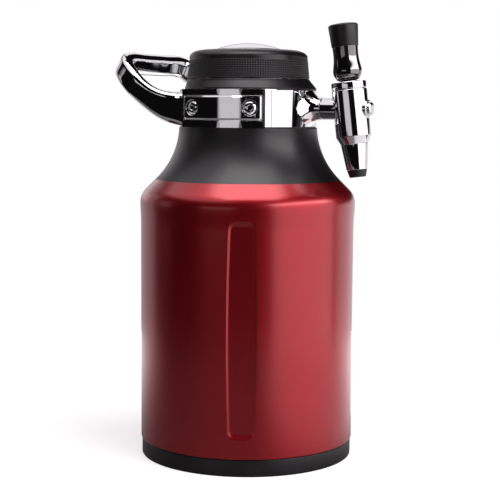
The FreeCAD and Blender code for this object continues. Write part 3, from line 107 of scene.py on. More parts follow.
class Signal:
    """A node's output socket that arithmetic can be written on; every operator adds a Math node."""

    __add__ = __radd__ = operator("ADD")
    __mul__ = __rmul__ = operator("MULTIPLY")
    __sub__ = operator("SUBTRACT")
    __rsub__ = operator("SUBTRACT", swapped=True)
    __pow__ = operator("POWER")
    at_least = operator("MAXIMUM")
    size = operator("ABSOLUTE")
    turn_from = operator("ARCTAN2")

    def __init__(self, paint: "Tree", socket: bpy.types.NodeSocket) -> None:
        """Keeps the tree and the socket that this signal stands for."""
        self.paint = paint
        self.socket = socket

    def ramp(self, low: float, high: float, start: float = 0.0, end: float = 1.0) -> "Signal":
        """Eases by start + (end - start) (3 t^2 - 2 t^3), with t the clamped share from low to high."""
        values = {"Value": self, "From Min": low, "From Max": high, "To Min": start, "To Max": end}
        return self.paint.node("ShaderNodeMapRange", {"interpolation_type": "SMOOTHSTEP"}, values)


class Tree:
    """A node tree that nodes are added to by one method."""

    def __init__(self, tree: bpy.types.NodeTree) -> None:
        """Keeps the tree and empties it."""
        self.tree = tree
        self.tree.nodes.clear()

    def feed(self, socket: bpy.types.NodeSocket, value: Any) -> None:
        """Links a signal to a socket, or writes a plain value on it.

        Args:
            socket: The input socket.
            value: A signal, or the plain value.
        """
        if isinstance(value, Signal):
            self.tree.links.new(value.socket, socket)
        else:
            socket.default_value = value

    def node(
        self,
        kind: str,
        settings: dict[str, Any] | None = None,
        inputs: dict[Any, Any] | None = None,
        out: Any = 0,
    ) -> Signal:
        """Adds a node of any kind.

        Args:
            kind: The node's type.
            settings: Its own settings, set before its sockets.
            inputs: Values or signals for its input sockets, by name or number.
            out: Name or number of the output that is wanted.

        Returns:
            That output as a signal.
        """
        made = self.tree.nodes.new(kind)
        for key, value in (settings or {}).items():
            setattr(made, key, value)
        for key, value in (inputs or {}).items():
            self.feed(made.inputs[key], value)
        return Signal(self, made.outputs[out])

    def axes(self, vector: Signal) -> tuple[Signal, Signal, Signal]:
        """Splits a vector into its three numbers."""
        outputs = self.node("ShaderNodeSeparateXYZ", inputs={0: vector}).socket.node.outputs
        return Signal(self, outputs[0]), Signal(self, outputs[1]), Signal(self, outputs[2])

    def blend(self, share: Signal, first: Colour | Signal, second: Colour | Signal) -> Signal:
        """Mixes two colours.

        Args:
            share: 0 for the first colour, 1 for the second.
            first: Colour or signal at 0.
            second: Colour or signal at 1.

        Returns:
            The mixed colour.
        """
        first = first if isinstance(first, Signal) else (*first, 1.0)
        second = second if isinstance(second, Signal) else (*second, 1.0)
        return self.node("ShaderNodeMix", {"data_type": "RGBA"}, {0: share, 6: first, 7: second}, out=2)

    def rays(self) -> tuple[Signal, Signal]:
        """Tells the rays apart.

        Returns:
            1 for the camera's own rays, and 1 for those that a mirror or clear plastic sends on.
        """
        direct = self.node("ShaderNodeLightPath", out="Is Camera Ray")
        outputs = direct.socket.node.outputs
        through = Signal(self, outputs["Is Transmission Ray"])
        return direct, Signal(self, outputs["Is Glossy Ray"]).at_least(through)


class Paint(Tree):
    """One material's node tree around a single Principled surface."""

    def __init__(self, name: str) -> None:
        """Starts a material with an empty tree, a Principled surface and its output.

        Args:
            name: The material's name.
        """
        self.material = bpy.data.materials.new(name)
        self.material.use_nodes = True
        super().__init__(self.material.node_tree)
        self.surface = self.tree.nodes.new("ShaderNodeBsdfPrincipled")
        output = self.tree.nodes.new("ShaderNodeOutputMaterial")
        self.tree.links.new(self.surface.outputs[0], output.inputs["Surface"])

    def place(self) -> Signal:
        """The point in the object's own coordinates, in metres."""
        return self.node("ShaderNodeTexCoord", out="Object")

    def noise(self, scale: float, detail: float = 2.0, gain: float = 0.55) -> Signal:
        """Fractal noise of 0 to 1: scale grains a metre, detail finer layers, each with gain of the last."""
        values = {"Vector": self.place(), "Scale": scale, "Detail": detail, "Roughness": gain}
        return self.node("ShaderNodeTexNoise", inputs=values)

    def bump(self, height: Signal, distance: float) -> Signal:
        """A normal tilted by a height field, with distance the metres of relief at a height of 1."""
        return self.node("ShaderNodeBump", inputs={"Height": height, "Distance": distance})

    def finish(self, **values: Any) -> bpy.types.Material:
        """Sets the Principled surface's sockets and hands the material over.

        Args:
            values: Socket values or signals; an underscore stands for a space in a name.

        Returns:
            The finished material.
        """
        for key, value in values.items():
            if isinstance(value, tuple) and len(value) == 3:
                value = (*value, 1.0)
            self.feed(self.surface.inputs[key.replace("_", " ")], value)
        return self.material


# ------------------------------------------------------------------- finishes


@dataclass(frozen=True)
class PowderCoat:
    """Satin powder coat with metal flake: fine orange peel, and a drift of tone over the body."""

    name: str
    colour: Colour
    flake: Colour
    roughness: float = 0.36
    metallic: float = 0.82
    peel: float = 0.00002
    coat: float = 0.9
    coat_roughness: float = 0.22
    drift_scale: float = 14.0
    flake_scale: float = 2600.0
    peel_scale: float = 900.0

    def material(self) -> bpy.types.Material:
        """Colour drifts between base and flake with two noises, and the finer one moves the roughness.

        Returns:
            The finished material.
        """
        paint = Paint(self.name)
        drift = paint.noise(self.drift_scale, 3.0)
        grain = paint.noise(self.flake_scale, 1.0)
        tone = (drift * 0.35 + grain * 0.65).ramp(0.25, 0.8)
        peel = paint.noise(self.peel_scale)
        return paint.finish(
            Base_Color=paint.blend(tone, self.colour, self.flake),
            Metallic=self.metallic,
            Roughness=grain.ramp(0.2, 0.8, self.roughness - 0.03, self.roughness + 0.04),
            Coat_Weight=self.coat,
            Coat_Roughness=self.coat_roughness,
            Normal=paint.bump(peel * 0.6 + grain * 0.4, self.peel),
        )


@dataclass(frozen=True)
class MouldedPlastic:
    """Moulded plastic: spark-eroded grain, faint rub marks that change the gloss."""

    name: str
    colour: Colour
    roughness: float
    grain: float = 1500.0
    depth: float = 0.00003
    coat: float = 0.0
    sheen: float = 0.5
    coat_index: float = 1.5
    coat_roughness: float = 0.08
    wear_scale: float = 35.0

    def material(self) -> bpy.types.Material:
        """Grain tilts the normal; a slow noise moves tone and roughness.

        Returns:
            The finished material.
        """
        paint = Paint(self.name)
        wear = paint.noise(self.wear_scale, 3.0)
        grain = paint.noise(self.grain)
        worn = tuple(min(1.0, part * 1.35 + 0.004) for part in self.colour)
        return paint.finish(
            Base_Color=paint.blend(wear.ramp(0.35, 0.75), self.colour, worn),
            Roughness=wear.ramp(0.3, 0.75, self.roughness - 0.04, self.roughness + 0.05),
            Specular_IOR_Level=self.sheen,
            Coat_Weight=self.coat,
            Coat_Roughness=self.coat_roughness,
            Coat_IOR=self.coat_index,
            Normal=paint.bump(grain, self.depth),
        )


@dataclass(frozen=True)
class Metal:
    """Plated or bare metal: a slow waviness, fine hairlines and a little clouding in the gloss."""

    name: str
    colour: Colour
    roughness: float
    waviness: float = 0.00002
    cloud: float = 0.03
    wave_scale: float = 60.0
    cloud_scale: float = 220.0

    def material(self) -> bpy.types.Material:
        """A slow noise tilts the normal as polishing does, and a finer one clouds tone and roughness.

        Returns:
            The finished material.
        """
        paint = Paint(self.name)
        wave = paint.noise(self.wave_scale, 1.0)
        cloud = paint.noise(self.cloud_scale, 3.0)
        dimmer = tuple(part * 0.93 for part in self.colour)
        return paint.finish(
            Base_Color=paint.blend(cloud.ramp(0.3, 0.8), self.colour, dimmer),
            Metallic=1.0,
            Roughness=cloud.ramp(0.4, 0.9, self.roughness, self.roughness + self.cloud),
            Normal=paint.bump(wave, self.waviness),
        )


@dataclass(frozen=True)
class ClearPlastic:
    """Clear tube plastic with a faint haze."""

    name: str
    colour: Colour
    roughness: float = 0.12
    haze_scale: float = 300.0
    clearness: float = 0.85
    index: float = 1.46

    def material(self) -> bpy.types.Material:
        """Transmission is plain; a fine noise hazes the gloss.

        Returns:
            The finished material.
        """
        paint = Paint(self.name)
        haze = paint.noise(self.haze_scale)
        return paint.finish(
            Base_Color=self.colour,
            Roughness=haze.ramp(0.3, 0.8, self.roughness, self.roughness + 0.1),
            Transmission_Weight=self.clearness,
            IOR=self.index,
        )


class Slot(Enum):
    """The record's material slots, by what they cover."""

    SHELL = "red_shell"
    BLACK_METAL = "black_metal"
    BLACK_PLASTIC = "black_plastic"
    GLOSS = "black_gloss"
    CHROME = "chrome"
    STEEL = "steel"
    RUBBER = "rubber"
    BRASS = "brass"
    CLEAR = "clear_tube"


class Finishes:
    """Every finish of the dispenser, made once each."""

    recipes = {
        Slot.SHELL: PowderCoat("red_powder_coat", linear(146, 6, 18), linear(178, 12, 28)),
        Slot.BLACK_METAL: PowderCoat(
            "black_powder_coat", linear(8, 6, 8), linear(16, 13, 16), 0.4, 0.0, coat=0.2, coat_roughness=0.3
        ),
        Slot.BLACK_PLASTIC: MouldedPlastic("black_moulded_plastic", linear(12, 10, 12), 0.38),
        Slot.GLOSS: MouldedPlastic(
            "black_gloss_plastic", linear(10, 9, 10), 0.1, 300.0, 3e-6, coat=1.0, sheen=1.0, coat_index=2.1
        ),
        Slot.CHROME: Metal("polished_chrome", (0.80, 0.80, 0.81), 0.045),
        Slot.STEEL: Metal("turned_steel", (0.56, 0.56, 0.57), 0.24, cloud=0.08),
        Slot.RUBBER: MouldedPlastic("black_rubber", linear(22, 22, 23), 0.72, 700.0, 0.00005),
        Slot.BRASS: Metal("turned_brass", (0.72, 0.52, 0.24), 0.26, cloud=0.08),
        Slot.CLEAR: ClearPlastic("clear_tube", (0.86, 0.88, 0.9)),
    }

    def __init__(self) -> None:
        """Makes the materials."""
        self.made = {slot: recipe.material() for slot, recipe in self.recipes.items()}

    def dress_frame(self, frame: dict[str, Any]) -> None:
        """Gives every carried-over CAD node the finish of its record slot.

        Args:
            frame: The loaded frame.
        """
        slots = {entry["node"]: Slot(entry["material_slot"]) for entry in frame["record"]["subparts"]}
        for name, node in frame["nodes"].items():
            node.data.materials.clear()
            node.data.materials.append(self.made[slots.get(name, Slot.STEEL)])


# ------------------------------------------------------------- surfaces in numpy


def fillet(corners: Sequence[tuple[float, ...]], steps: int = 5, closed: bool = False) -> Array:
    """Rounds the corners of a flat outline.

    Args:
        corners: Points (x, z) or (x, z, radius); without a radius a corner stays sharp.
        steps: Spans of each rounding.
        closed: True if the last point joins the first.

    Returns:
        Points (n, 2). A corner of radius r becomes an arc that starts and ends r / tan(half its angle)
        away from it, and whose points lie at r from the arc's centre on the bisector.
    """
    found = []
    count = len(corners)
    for place, corner in enumerate(corners):
        here = np.array(corner[:2], float)
        radius = corner[2] if len(corner) > 2 else 0.0
        if radius <= 0 or (not closed and place in (0, count - 1)):
            found.append(here[None])
            continue
        back = np.array(corners[place - 1][:2], float) - here
        ahead = np.array(corners[(place + 1) % count][:2], float) - here
        back_length, ahead_length = np.linalg.norm(back), np.linalg.norm(ahead)
        back, ahead = back / back_length, ahead / ahead_length
        half = math.acos(float(np.clip(back @ ahead, -1, 1))) / 2
        cut = min(radius / math.tan(half), 0.49 * back_length, 0.49 * ahead_length)
        radius = cut * math.tan(half)
        bisector = (back + ahead) / np.linalg.norm(back + ahead)
        centre = here + bisector * radius / math.sin(half)
        first, last = here + back * cut - centre, here + ahead * cut - centre
        share = np.linspace(0, 1, steps + 1)[:, None]
        turn = math.pi - 2 * half
        arc = (np.sin((1 - share) * turn) * first + np.sin(share * turn) * last) / math.sin(turn)
        found.append(centre + arc)
    return np.concatenate(found)


def arc_through(start: tuple[float, float], end: tuple[float, float], sag: float, steps: int = 24) -> Array:
    """Arc between two points that dips by sag to the left of the straight line.

    Args:
        start: First point.
        end: Last point.
        sag: Height of the arc's middle over its chord.
        steps: Spans.

    Returns:
        Points (steps + 1, 2) on the circle of radius (chord^2 / 4 + sag^2) / (2 sag).
    """
    first, last = np.array(start, float), np.array(end, float)
    chord = last - first
    length = np.linalg.norm(chord)
    left = np.array([-chord[1], chord[0]]) / length
    radius = (length**2 / 4 + sag**2) / (2 * sag)
    centre = (first + last) / 2 + left * (sag - radius)
    half = math.asin(min(1.0, length / 2 / radius))
    angle = np.linspace(-half, half, steps + 1)[:, None]
    return centre + radius * (np.cos(angle) * left + np.sin(angle) * chord / length)


def parallel(path: Array, distance: float) -> Array:
    """Moves a flat polyline sideways.

    Args:
        path: Points (n, 2).
        distance: How far each point goes along its right-hand normal.

    Returns:
        Points (n, 2).
    """
    ahead = np.gradient(path, axis=0)
    ahead /= np.linalg.norm(ahead, axis=1, keepdims=True)
    return path + distance * np.stack([ahead[:, 1], -ahead[:, 0]], 1)


def spline(places: Array, values: Array, wanted: Array) -> Array:
    """Smooth curve through a few values, as a natural cubic spline.

    Args:
        places: Increasing places (n,).
        values: Values there (n,).
        wanted: Places to read.

    Returns:
        Values of the piecewise cubic whose second derivative is continuous and 0 at both ends.
    """
    step = np.diff(places)
    size = len(places)
    matrix, right = np.eye(size), np.zeros(size)
    inner = np.arange(1, size - 1)
    matrix[inner, inner - 1], matrix[inner, inner + 1] = step[:-1], step[1:]
    matrix[inner, inner] = 2 * (step[:-1] + step[1:])
    right[inner] = 6 * np.diff(np.diff(values) / step)
    bend = np.linalg.solve(matrix, right)
    place = np.clip(np.searchsorted(places, wanted) - 1, 0, size - 2)
    width = step[place]
    before, after = (places[place + 1] - wanted) / width, (wanted - places[place]) / width
    curve = ((before**3 - before) * bend[place] + (after**3 - after) * bend[place + 1]) * width**2 / 6
    return before * values[place] + after * values[place + 1] + curve


def round_angles(count: int) -> Array:
    """Evenly spread angles round a full turn, without the last."""
    return np.arange(count) * 2 * math.pi / count


def rings(radius: Array, height: Array, angle: Array, shift: Array | float = 0.0) -> Array:
    """Rings of points (n, around, 3) about Z: x = r cos a + shift, y = r sin a, z = height."""
    across = radius * np.cos(angle) + shift
    return np.stack([across, radius * np.sin(angle), height + 0 * across], -1)


def linked(name: str, data: bpy.types.ID) -> bpy.types.Object:
    """Makes an object of a mesh, lamp or camera and puts it in the scene.

    Args:
        name: The object's name.
        data: What it shows.

    Returns:
        The object, at the origin.
    """
    made = bpy.data.objects.new(name, data)
    bpy.context.scene.collection.objects.link(made)
    return made


class Form:
    """A mesh in the making: closed surfaces as point grids, in millimetres."""

    def __init__(self) -> None:
        """Starts with no surface."""
        self.points: list[Array] = []
        self.faces: list[Array] = []
        self.count = 0

    def add(self, points: Array, faces: list[Array]) -> "Form":
        """Adds one closed surface, turned outwards by the sign of its volume.

        Args:
            points: Points (n, 3).
            faces: Index arrays (k, 3) or (k, 4).

        Returns:
            The form itself.
        """
        volume = 0.0
        for part in faces:
            for second, third in ((1, 2), (2, 3)) if part.shape[1] == 4 else ((1, 2),):
                a, b, c = points[part[:, 0]], points[part[:, second]], points[part[:, third]]
                volume += float(np.einsum("ij,ij->", a, np.cross(b, c)))
        for part in faces:
            part = part[:, ::-1] if volume < 0 else part
            self.faces.append(part + self.count)
        self.points.append(points)
        self.count += len(points)
        return self

    def grid(self, rows: Array, closed_rows: bool = False) -> "Form":
        """Adds a surface of rings: each row is a ring of points, joined to the next row.

        Args:
            rows: Points (rings, around, 3); a ring whose points all meet becomes a pole.
            closed_rows: True if the last ring joins the first, as on a doughnut.

        Returns:
            The form itself. Open ends are closed by a fan round the ring's middle.
        """
        rings, around = rows.shape[:2]
        index = np.arange(rings * around).reshape(rings, around)
        right = np.roll(index, -1, axis=1)
        upper, upper_right = np.roll(index, -1, axis=0), np.roll(right, -1, axis=0)
        last = rings if closed_rows else rings - 1
        quads = np.stack([index, right, upper_right, upper], -1)[:last].reshape(-1, 4)
        points = [rows.reshape(-1, 3)]
        faces = [quads]
        if not closed_rows:
            for ring, order in ((0, 1), (rings - 1, -1)):
                pole = rings * around + len(points) - 1
                points.append(rows[ring].mean(0)[None])
                fan = np.stack([np.full(around, pole), right[ring], index[ring]][::order], -1)
                faces.append(fan)
        return self.add(np.concatenate(points), faces)

    def lathe(self, profile: Array, around: int = 128, swell: Array | None = None) -> "Form":
        """Adds a surface turned about Z.

        Args:
            profile: Points (n, 2) of radius and height. If it starts and ends on the axis the poles
                are closed; otherwise its end joins its start.
            around: Points round each ring.
            swell: Radius change (n, around) or None.

        Returns:
            The form itself: x = r cos a, y = r sin a, z = height.
        """
        radius = profile[:, :1] + (0 if swell is None else swell)
        rows = rings(radius, profile[:, 1:], round_angles(around))
        on_axis = profile[0, 0] < ON_AXIS and profile[-1, 0] < ON_AXIS
        return self.grid(rows[1:-1]) if on_axis else self.grid(rows, True)

    def moved(self, matrix: Array, shift: Array) -> "Form":
        """Turns and shifts everything added so far."""
        self.points = [part @ matrix.T + shift for part in self.points]
        return self

    def joined(self, other: "Form") -> "Form":
        """Adds all of another form.

        Args:
            other: The form to add.

        Returns:
            The form itself.
        """
        self.faces += [part + self.count for part in other.faces]
        self.points += other.points
        self.count += other.count
        return self

    def piece(self, name: str, finish: bpy.types.Material, sharp: float) -> bpy.types.Object:
        """Writes the mesh in metres, smooth but for edges sharper than an angle.

        Args:
            name: The piece's name.
            finish: Its material.
            sharp: Degrees above which an edge stays sharp.

        Returns:
            The object, at the origin.
        """
        points = np.concatenate(self.points) * MM
        corners = np.concatenate([part.reshape(-1) for part in self.faces])
        sizes = np.concatenate([np.full(len(part), part.shape[1]) for part in self.faces])
        mesh = bpy.data.meshes.new(name)
        mesh.vertices.add(len(points))
        mesh.vertices.foreach_set("co", points.astype(np.float32).reshape(-1))
        mesh.loops.add(len(corners))
        mesh.loops.foreach_set("vertex_index", corners.astype(np.int32))
        mesh.polygons.add(len(sizes))
        starts = np.concatenate([[0], np.cumsum(sizes)[:-1]])
        mesh.polygons.foreach_set("loop_start", starts.astype(np.int32))
        mesh.polygons.foreach_set("loop_total", sizes.astype(np.int32))
        mesh.update(calc_edges=True)
        mesh.validate()
        mesh.polygons.foreach_set("use_smooth", np.ones(len(mesh.polygons), bool))
        mesh.set_sharp_from_angle(angle=math.radians(sharp))
        mesh.materials.append(finish)
        return linked(name, mesh)


def leaning(form: Form, lean: float, shift: Array) -> Form:
    """Leans a form towards -X: x' = x cos a - z sin a, z' = x sin a + z cos a, then adds the shift."""
    turn = np.array([[math.cos(lean), 0, -math.sin(lean)], [0, 1, 0], [math.sin(lean), 0, math.cos(lean)]])
    return form.moved(turn, shift)


def laid(form: Form, level: float) -> Form:
    """Lays a form turned about Z along +X at a height: z becomes x, x becomes -z."""
    turn = np.array([[0, 0, 1.0], [0, 1.0, 0], [-1.0, 0, 0]])
    return form.moved(turn, np.array([0, 0, level]))


# ---------------------------------------------------------------- sub-assemblies


@dataclass
class SubAssembly:
    """What every sub-assembly shares: the frame, the finishes and how a piece is handed in."""

    frame: dict[str, Any]
    finishes: Finishes
    sharp: ClassVar[float] = math.radians(30.0)
    flat: ClassVar[float] = math.radians(0.05)
    merge_reach: ClassVar[float] = 2e-6

    def hand_in(self, piece: bpy.types.Object, slot: Slot, body: str, *nodes: str) -> bpy.types.Object:
        """Rides a piece on its body and hides the CAD nodes that it replaces.

        Args:
            piece: The finished piece.
            slot: Not used.
            body: The CAD body it moves with.
            nodes: CAD nodes that it replaces.

        Returns:
            The piece.
        """
        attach(piece, body)
        if nodes:
            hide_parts(*nodes)
        log.info("%s: %d faces on %s", piece.name, len(piece.data.polygons), body)
        return piece

    def deliver(
        self, form: Form, name: str, slot: Slot, body: str, *nodes: str, sharp: float = 38.0
    ) -> bpy.types.Object:
        """Writes a form as a piece in its slot's finish and hands it in, as Form.piece and hand_in say."""
        return self.hand_in(form.piece(name, self.finishes.made[slot], sharp), slot, body, *nodes)

    def copied(self, node: str, name: str, slot: Slot) -> bpy.types.Object:
        """A copy of a CAD node with its doubled vertices merged.

        Args:
            node: The CAD node.
            name: The new piece's name.
            slot: Its finish.

        Returns:
            The copy, smooth but for its sharp edges.
        """
        shape = bmesh.new()
        shape.from_mesh(self.frame["nodes"][node].data)
        bmesh.ops.remove_doubles(shape, verts=shape.verts, dist=self.merge_reach)
        bmesh.ops.dissolve_limit(shape, angle_limit=self.flat, verts=shape.verts, edges=shape.edges)
        mesh = bpy.data.meshes.new(name)
        shape.to_mesh(mesh)
        shape.free()
        mesh.materials.append(self.finishes.made[slot])
        mesh.polygons.foreach_set("use_smooth", np.ones(len(mesh.polygons), bool))
        mesh.set_sharp_from_angle(angle=self.sharp)
        return linked(name, mesh)

    def refined(self, node: str, name: str, slot: Slot, body: str, edge: float) -> bpy.types.Object:
        """A merged copy of a CAD node with softened edges.

        Args:
            node: The CAD node.
            name: The new piece's name.
            slot: Its finish.
            body: The body it rides on.
            edge: Width of the softened edges in millimetres.

        Returns:
            The piece that replaces the node.
        """
        made = self.copied(node, name, slot)
        bevel = made.modifiers.new("softened_edges", "BEVEL")
        bevel.width = edge * MM
        bevel.segments = 3
        bevel.limit_method = "ANGLE"
        bevel.angle_limit = self.sharp
        bevel.use_clamp_overlap = True
        weighted = made.modifiers.new("even_normals", "WEIGHTED_NORMAL")
        weighted.weight = 100
        weighted.keep_sharp = True
        return self.hand_in(made, slot, body, node)


@dataclass
class Vessel(SubAssembly):
    """The insulated vessel: base boot, red shell with four flat panels, and the black shoulder sleeve."""

    radius: float = 65.0
    wall: float = 0.8
    around: int = 192
    boot_top: float = 10.0
    boot_outer: float = 64.4
    boot_inner: float = 62.4
    boot_floor: float = 3.0
    foot_groove: tuple[float, float, float] = (60.5, 63.0, 0.35)
    shell_foot: float = 62.2
    shell_floor: float = 3.2
    side_from: float = 10.2
    bead_level: float = 154.4
    bead_length: float = 12.0
    bead_rise: float = 0.4
    bend: float = 11.0
    sleeve_foot: tuple[float, float] = (56.078, 168.278)
    sleeve_head: tuple[float, float] = (41.9, 197.978)
    sleeve_top: float = 199.778
    sleeve_hollow: float = 3.0
    sleeve_wall: float = 1.6
    sleeve_room: float = 0.2
    neck: float = 36.6
    neck_foot: float = 199.9
    neck_fall: float = 0.3
    neck_top: float = 222.678
    panel_angle: float = 23.8
    panel_low: float = 24.8
    panel_high: float = 144.6
    panel_depth: float = 1.2
    panel_half_mid: float = 7.3
    panel_half_end: float = 6.0
    panel_corner: float = 2.0
    panel_slope: float = 2.2
    panel_softness: float = 0.08
    panel_ease: float = 0.1

    def boot(self) -> None:
        """Turns the shallow black cup of the base, with a rolled foot and lip."""
        groove_in, groove_out, deep = self.foot_groove
        profile = fillet([
            (0, 0.0), (groove_in, 0.0, 0.5), (groove_in + 0.4, deep, 0.4),
            (groove_out - 0.4, deep, 0.4), (groove_out, 0.0, 0.4), (self.boot_outer - 0.05, 0.0, 1.0),
            (self.boot_outer, self.boot_top, 0.5), (self.boot_inner, self.boot_top, 0.3),
            (self.boot_inner, self.boot_floor, 1.0), (0, self.boot_floor),
        ])
        form = Form().lathe(profile, self.around)
        self.deliver(form, "boot_cup", Slot.BLACK_PLASTIC, "vessel", "base_boot")

    def side_heights(self) -> Array:
        """Heights of the shell's rings, close together where a panel starts or ends.

        Returns:
            Heights (n,), from just over the shell's foot to the shoulder bead.
        """
        before, inside, counts = 5, 4, (4, 26, 26, 26, 10)
        stops = [self.side_from + self.wall, self.panel_low - before, self.panel_low + inside]
        stops += [self.panel_high - inside, self.panel_high + before, self.bead_level]
        spans = zip(stops[:-1], stops[1:], counts)
        return np.unique(np.concatenate([np.linspace(start, end, count) for start, end, count in spans]))

    def panel_floor(self, offset: Array, height: Array) -> Array:
        """Distance of a panel's surface from the axis, measured along its own middle direction.

        Args:
            offset: Sideways distance from the panel's middle line.
            height: Height above the underside.

        Returns:
            floor + largest of 0 and the distance past the panel's outline / slope, with an eased foot. The
            half width bows between its mid and end values as 1 - t^2, and the corners are rounded by
            joining the distances past the side and past the end as a circle does.
        """
        middle = (self.panel_low + self.panel_high) / 2
        span = (self.panel_high - self.panel_low) / 2
        place = np.clip((height - middle) / span, -1, 1)
        half = self.panel_half_end + (self.panel_half_mid - self.panel_half_end) * (1 - place**2)
        corner = self.panel_corner
        past_side = np.maximum(np.abs(offset) - (half - corner), 0)
        past_end = np.maximum(np.abs(height - middle) - (span - corner), 0)
        rise = np.maximum(np.hypot(past_side, past_end) - corner, 0) / self.panel_slope
        rise = np.sqrt(rise**2 + self.panel_ease**2) - self.panel_ease
        return self.radius - self.panel_depth + rise

    def shell_side(self, heights: Array, inset: float) -> Array:
        """Profile of the shell's straight side and shoulder bead, moved inwards by an inset.

        Args:
            heights: Heights of the side's rings.
            inset: Distance from the outer face; 0 for the outer face itself.

        Returns:
            Points (n, 2) of radius and height: the side swells by rise * (3 t^2 - 2 t^3) under the bead,
            and the bead is an eighth of a circle.
        """
        share = np.clip((heights - self.bead_level + self.bead_length) / self.bead_length, 0, 1)
        swell = self.bead_rise * (3 * share**2 - 2 * share**3)
        side = np.stack([self.radius - inset + swell, heights], 1)
        turn = np.linspace(0, math.pi / 4, 13)[1:]
        centre = np.array([self.radius + self.bead_rise - self.bend, self.bead_level])
        bead = centre + (self.bend - inset) * np.stack([np.cos(turn), np.sin(turn)], 1)
        return np.concatenate([side, bead])

    def panel_angles(self) -> Array:
        """Angles of the shell's points: 0.2 degrees apart at the panels' side walls, further elsewhere.

        Returns:
            Angles (n,) in radians, from 0 up to a full turn.
        """
        wall = np.arange(4.8, 9.0, 0.2)
        spread = np.concatenate([-wall, np.arange(-4.4, 4.5, 0.8), wall, np.arange(9.4, 80.5, 1.6)])
        every = [np.radians(spread + self.panel_angle + quarter * 90) for quarter in range(4)]
        return np.sort(np.concatenate(every) % (2 * math.pi))

    def skin(self) -> list[tuple[Array, bool, float]]:
        """Profile of the shell's skin, from the middle of its foot up outside and down again inside.

        Returns:
            Stretches of points (n, 2), each with whether the panels dip it and how far it is set in.
        """
        thin = self.wall
        foot = fillet([
            (0, self.shell_floor), (self.shell_foot, self.shell_floor, 0.6),
            (self.shell_foot, self.side_from, 0.3), (self.radius, self.side_from, 0.7),
            (self.radius, self.panel_low),
        ])
        heights = self.side_heights()
        side, side_in = self.shell_side(heights, 0.0), self.shell_side(heights[::3], thin)[::-1]
        slope = np.linspace(side[-1], np.array(self.sleeve_foot), 6)[1:]
        hollow = arc_through(self.sleeve_foot, self.sleeve_head, self.sleeve_hollow)
        tuck = self.sleeve_wall + self.sleeve_room
        under, under_in = parallel(hollow, -tuck), parallel(hollow, -tuck - thin)[::-1]
        bend, low = float(under[-1, 0]), self.neck_foot - self.neck_fall
        neck = np.array([(bend, low), (self.neck, self.neck_foot), (self.neck, self.neck_top)])
        neck_in = (neck - np.array([[thin, thin], [thin, thin], [thin, 0.0]]))[::-1]
        step, corner, floor = self.side_from + thin, self.shell_foot - thin, self.shell_floor + thin
        foot_in = np.array([(self.radius - thin, step), (corner, step), (corner, floor), (0, floor)])
        parts = [foot[:-1], side, slope, under, neck, neck_in, under_in, side_in, foot_in]
        return [(part, part is side or part is side_in, thin if part is side_in else 0.0) for part in parts]

    def shell(self) -> None:
        """Builds the red shell, a skin whose outer and inner face dip to a flat floor at each panel.

        A point's radius is the smaller of the turned radius r and the panel's cut c, joined softly:
        c (1 - g) + r g - s g (1 - g), with g the clamped share 1/2 + (c - r) / (2 s) of the softness s.
        """
        skin = self.skin()
        profile = np.concatenate([part for part, _, _ in skin])
        dips, inset = (np.concatenate([np.full(len(row[0]), row[key]) for row in skin]) for key in (1, 2))
        angle = self.panel_angles()
        radius = np.repeat(profile[:, :1], len(angle), 1)
        quarter = math.pi / 2
        away = (angle - math.radians(self.panel_angle) + quarter / 2) % quarter - quarter / 2
        cut = self.panel_floor(radius * np.sin(away), profile[:, 1:]) / np.cos(away) - inset[:, None]
        soft = self.panel_softness
        share = np.clip(0.5 + 0.5 * (cut - radius) / soft, 0, 1)
        dipped = cut * (1 - share) + radius * share - soft * share * (1 - share)
        form = Form().grid(rings(np.where(dips[:, None], dipped, radius), profile[:, 1:], angle)[1:-1])
        self.deliver(form, "red_shell", Slot.SHELL, "vessel", "outer_shell", sharp=50.0)

    def sleeve(self) -> None:
        """Turns the hollow-curved black sleeve, with rounded foot and lip."""
        outer = arc_through(self.sleeve_foot, self.sleeve_head, self.sleeve_hollow, 30)
        inner = parallel(outer, -self.sleeve_wall)[::-1]
        rim = ((outer[-1, 0], self.sleeve_top, 0.5), (inner[0, 0], self.sleeve_top, 0.3))
        top = fillet([tuple(outer[-1]), *rim, tuple(inner[0])])
        edge = (self.sleeve_foot[0] - 1.0, self.sleeve_foot[1] - 0.1, 0.3)
        foot = fillet([tuple(inner[-1]), edge, tuple(outer[0])])
        form = Form().lathe(np.concatenate([outer[1:-1], top, inner[1:-1], foot]), self.around)
        self.deliver(form, "shoulder_cover", Slot.BLACK_METAL, "vessel", "shoulder_sleeve")

    def build(self) -> None:
        """Builds the three pieces."""
        self.boot()
        self.shell()
        self.sleeve()


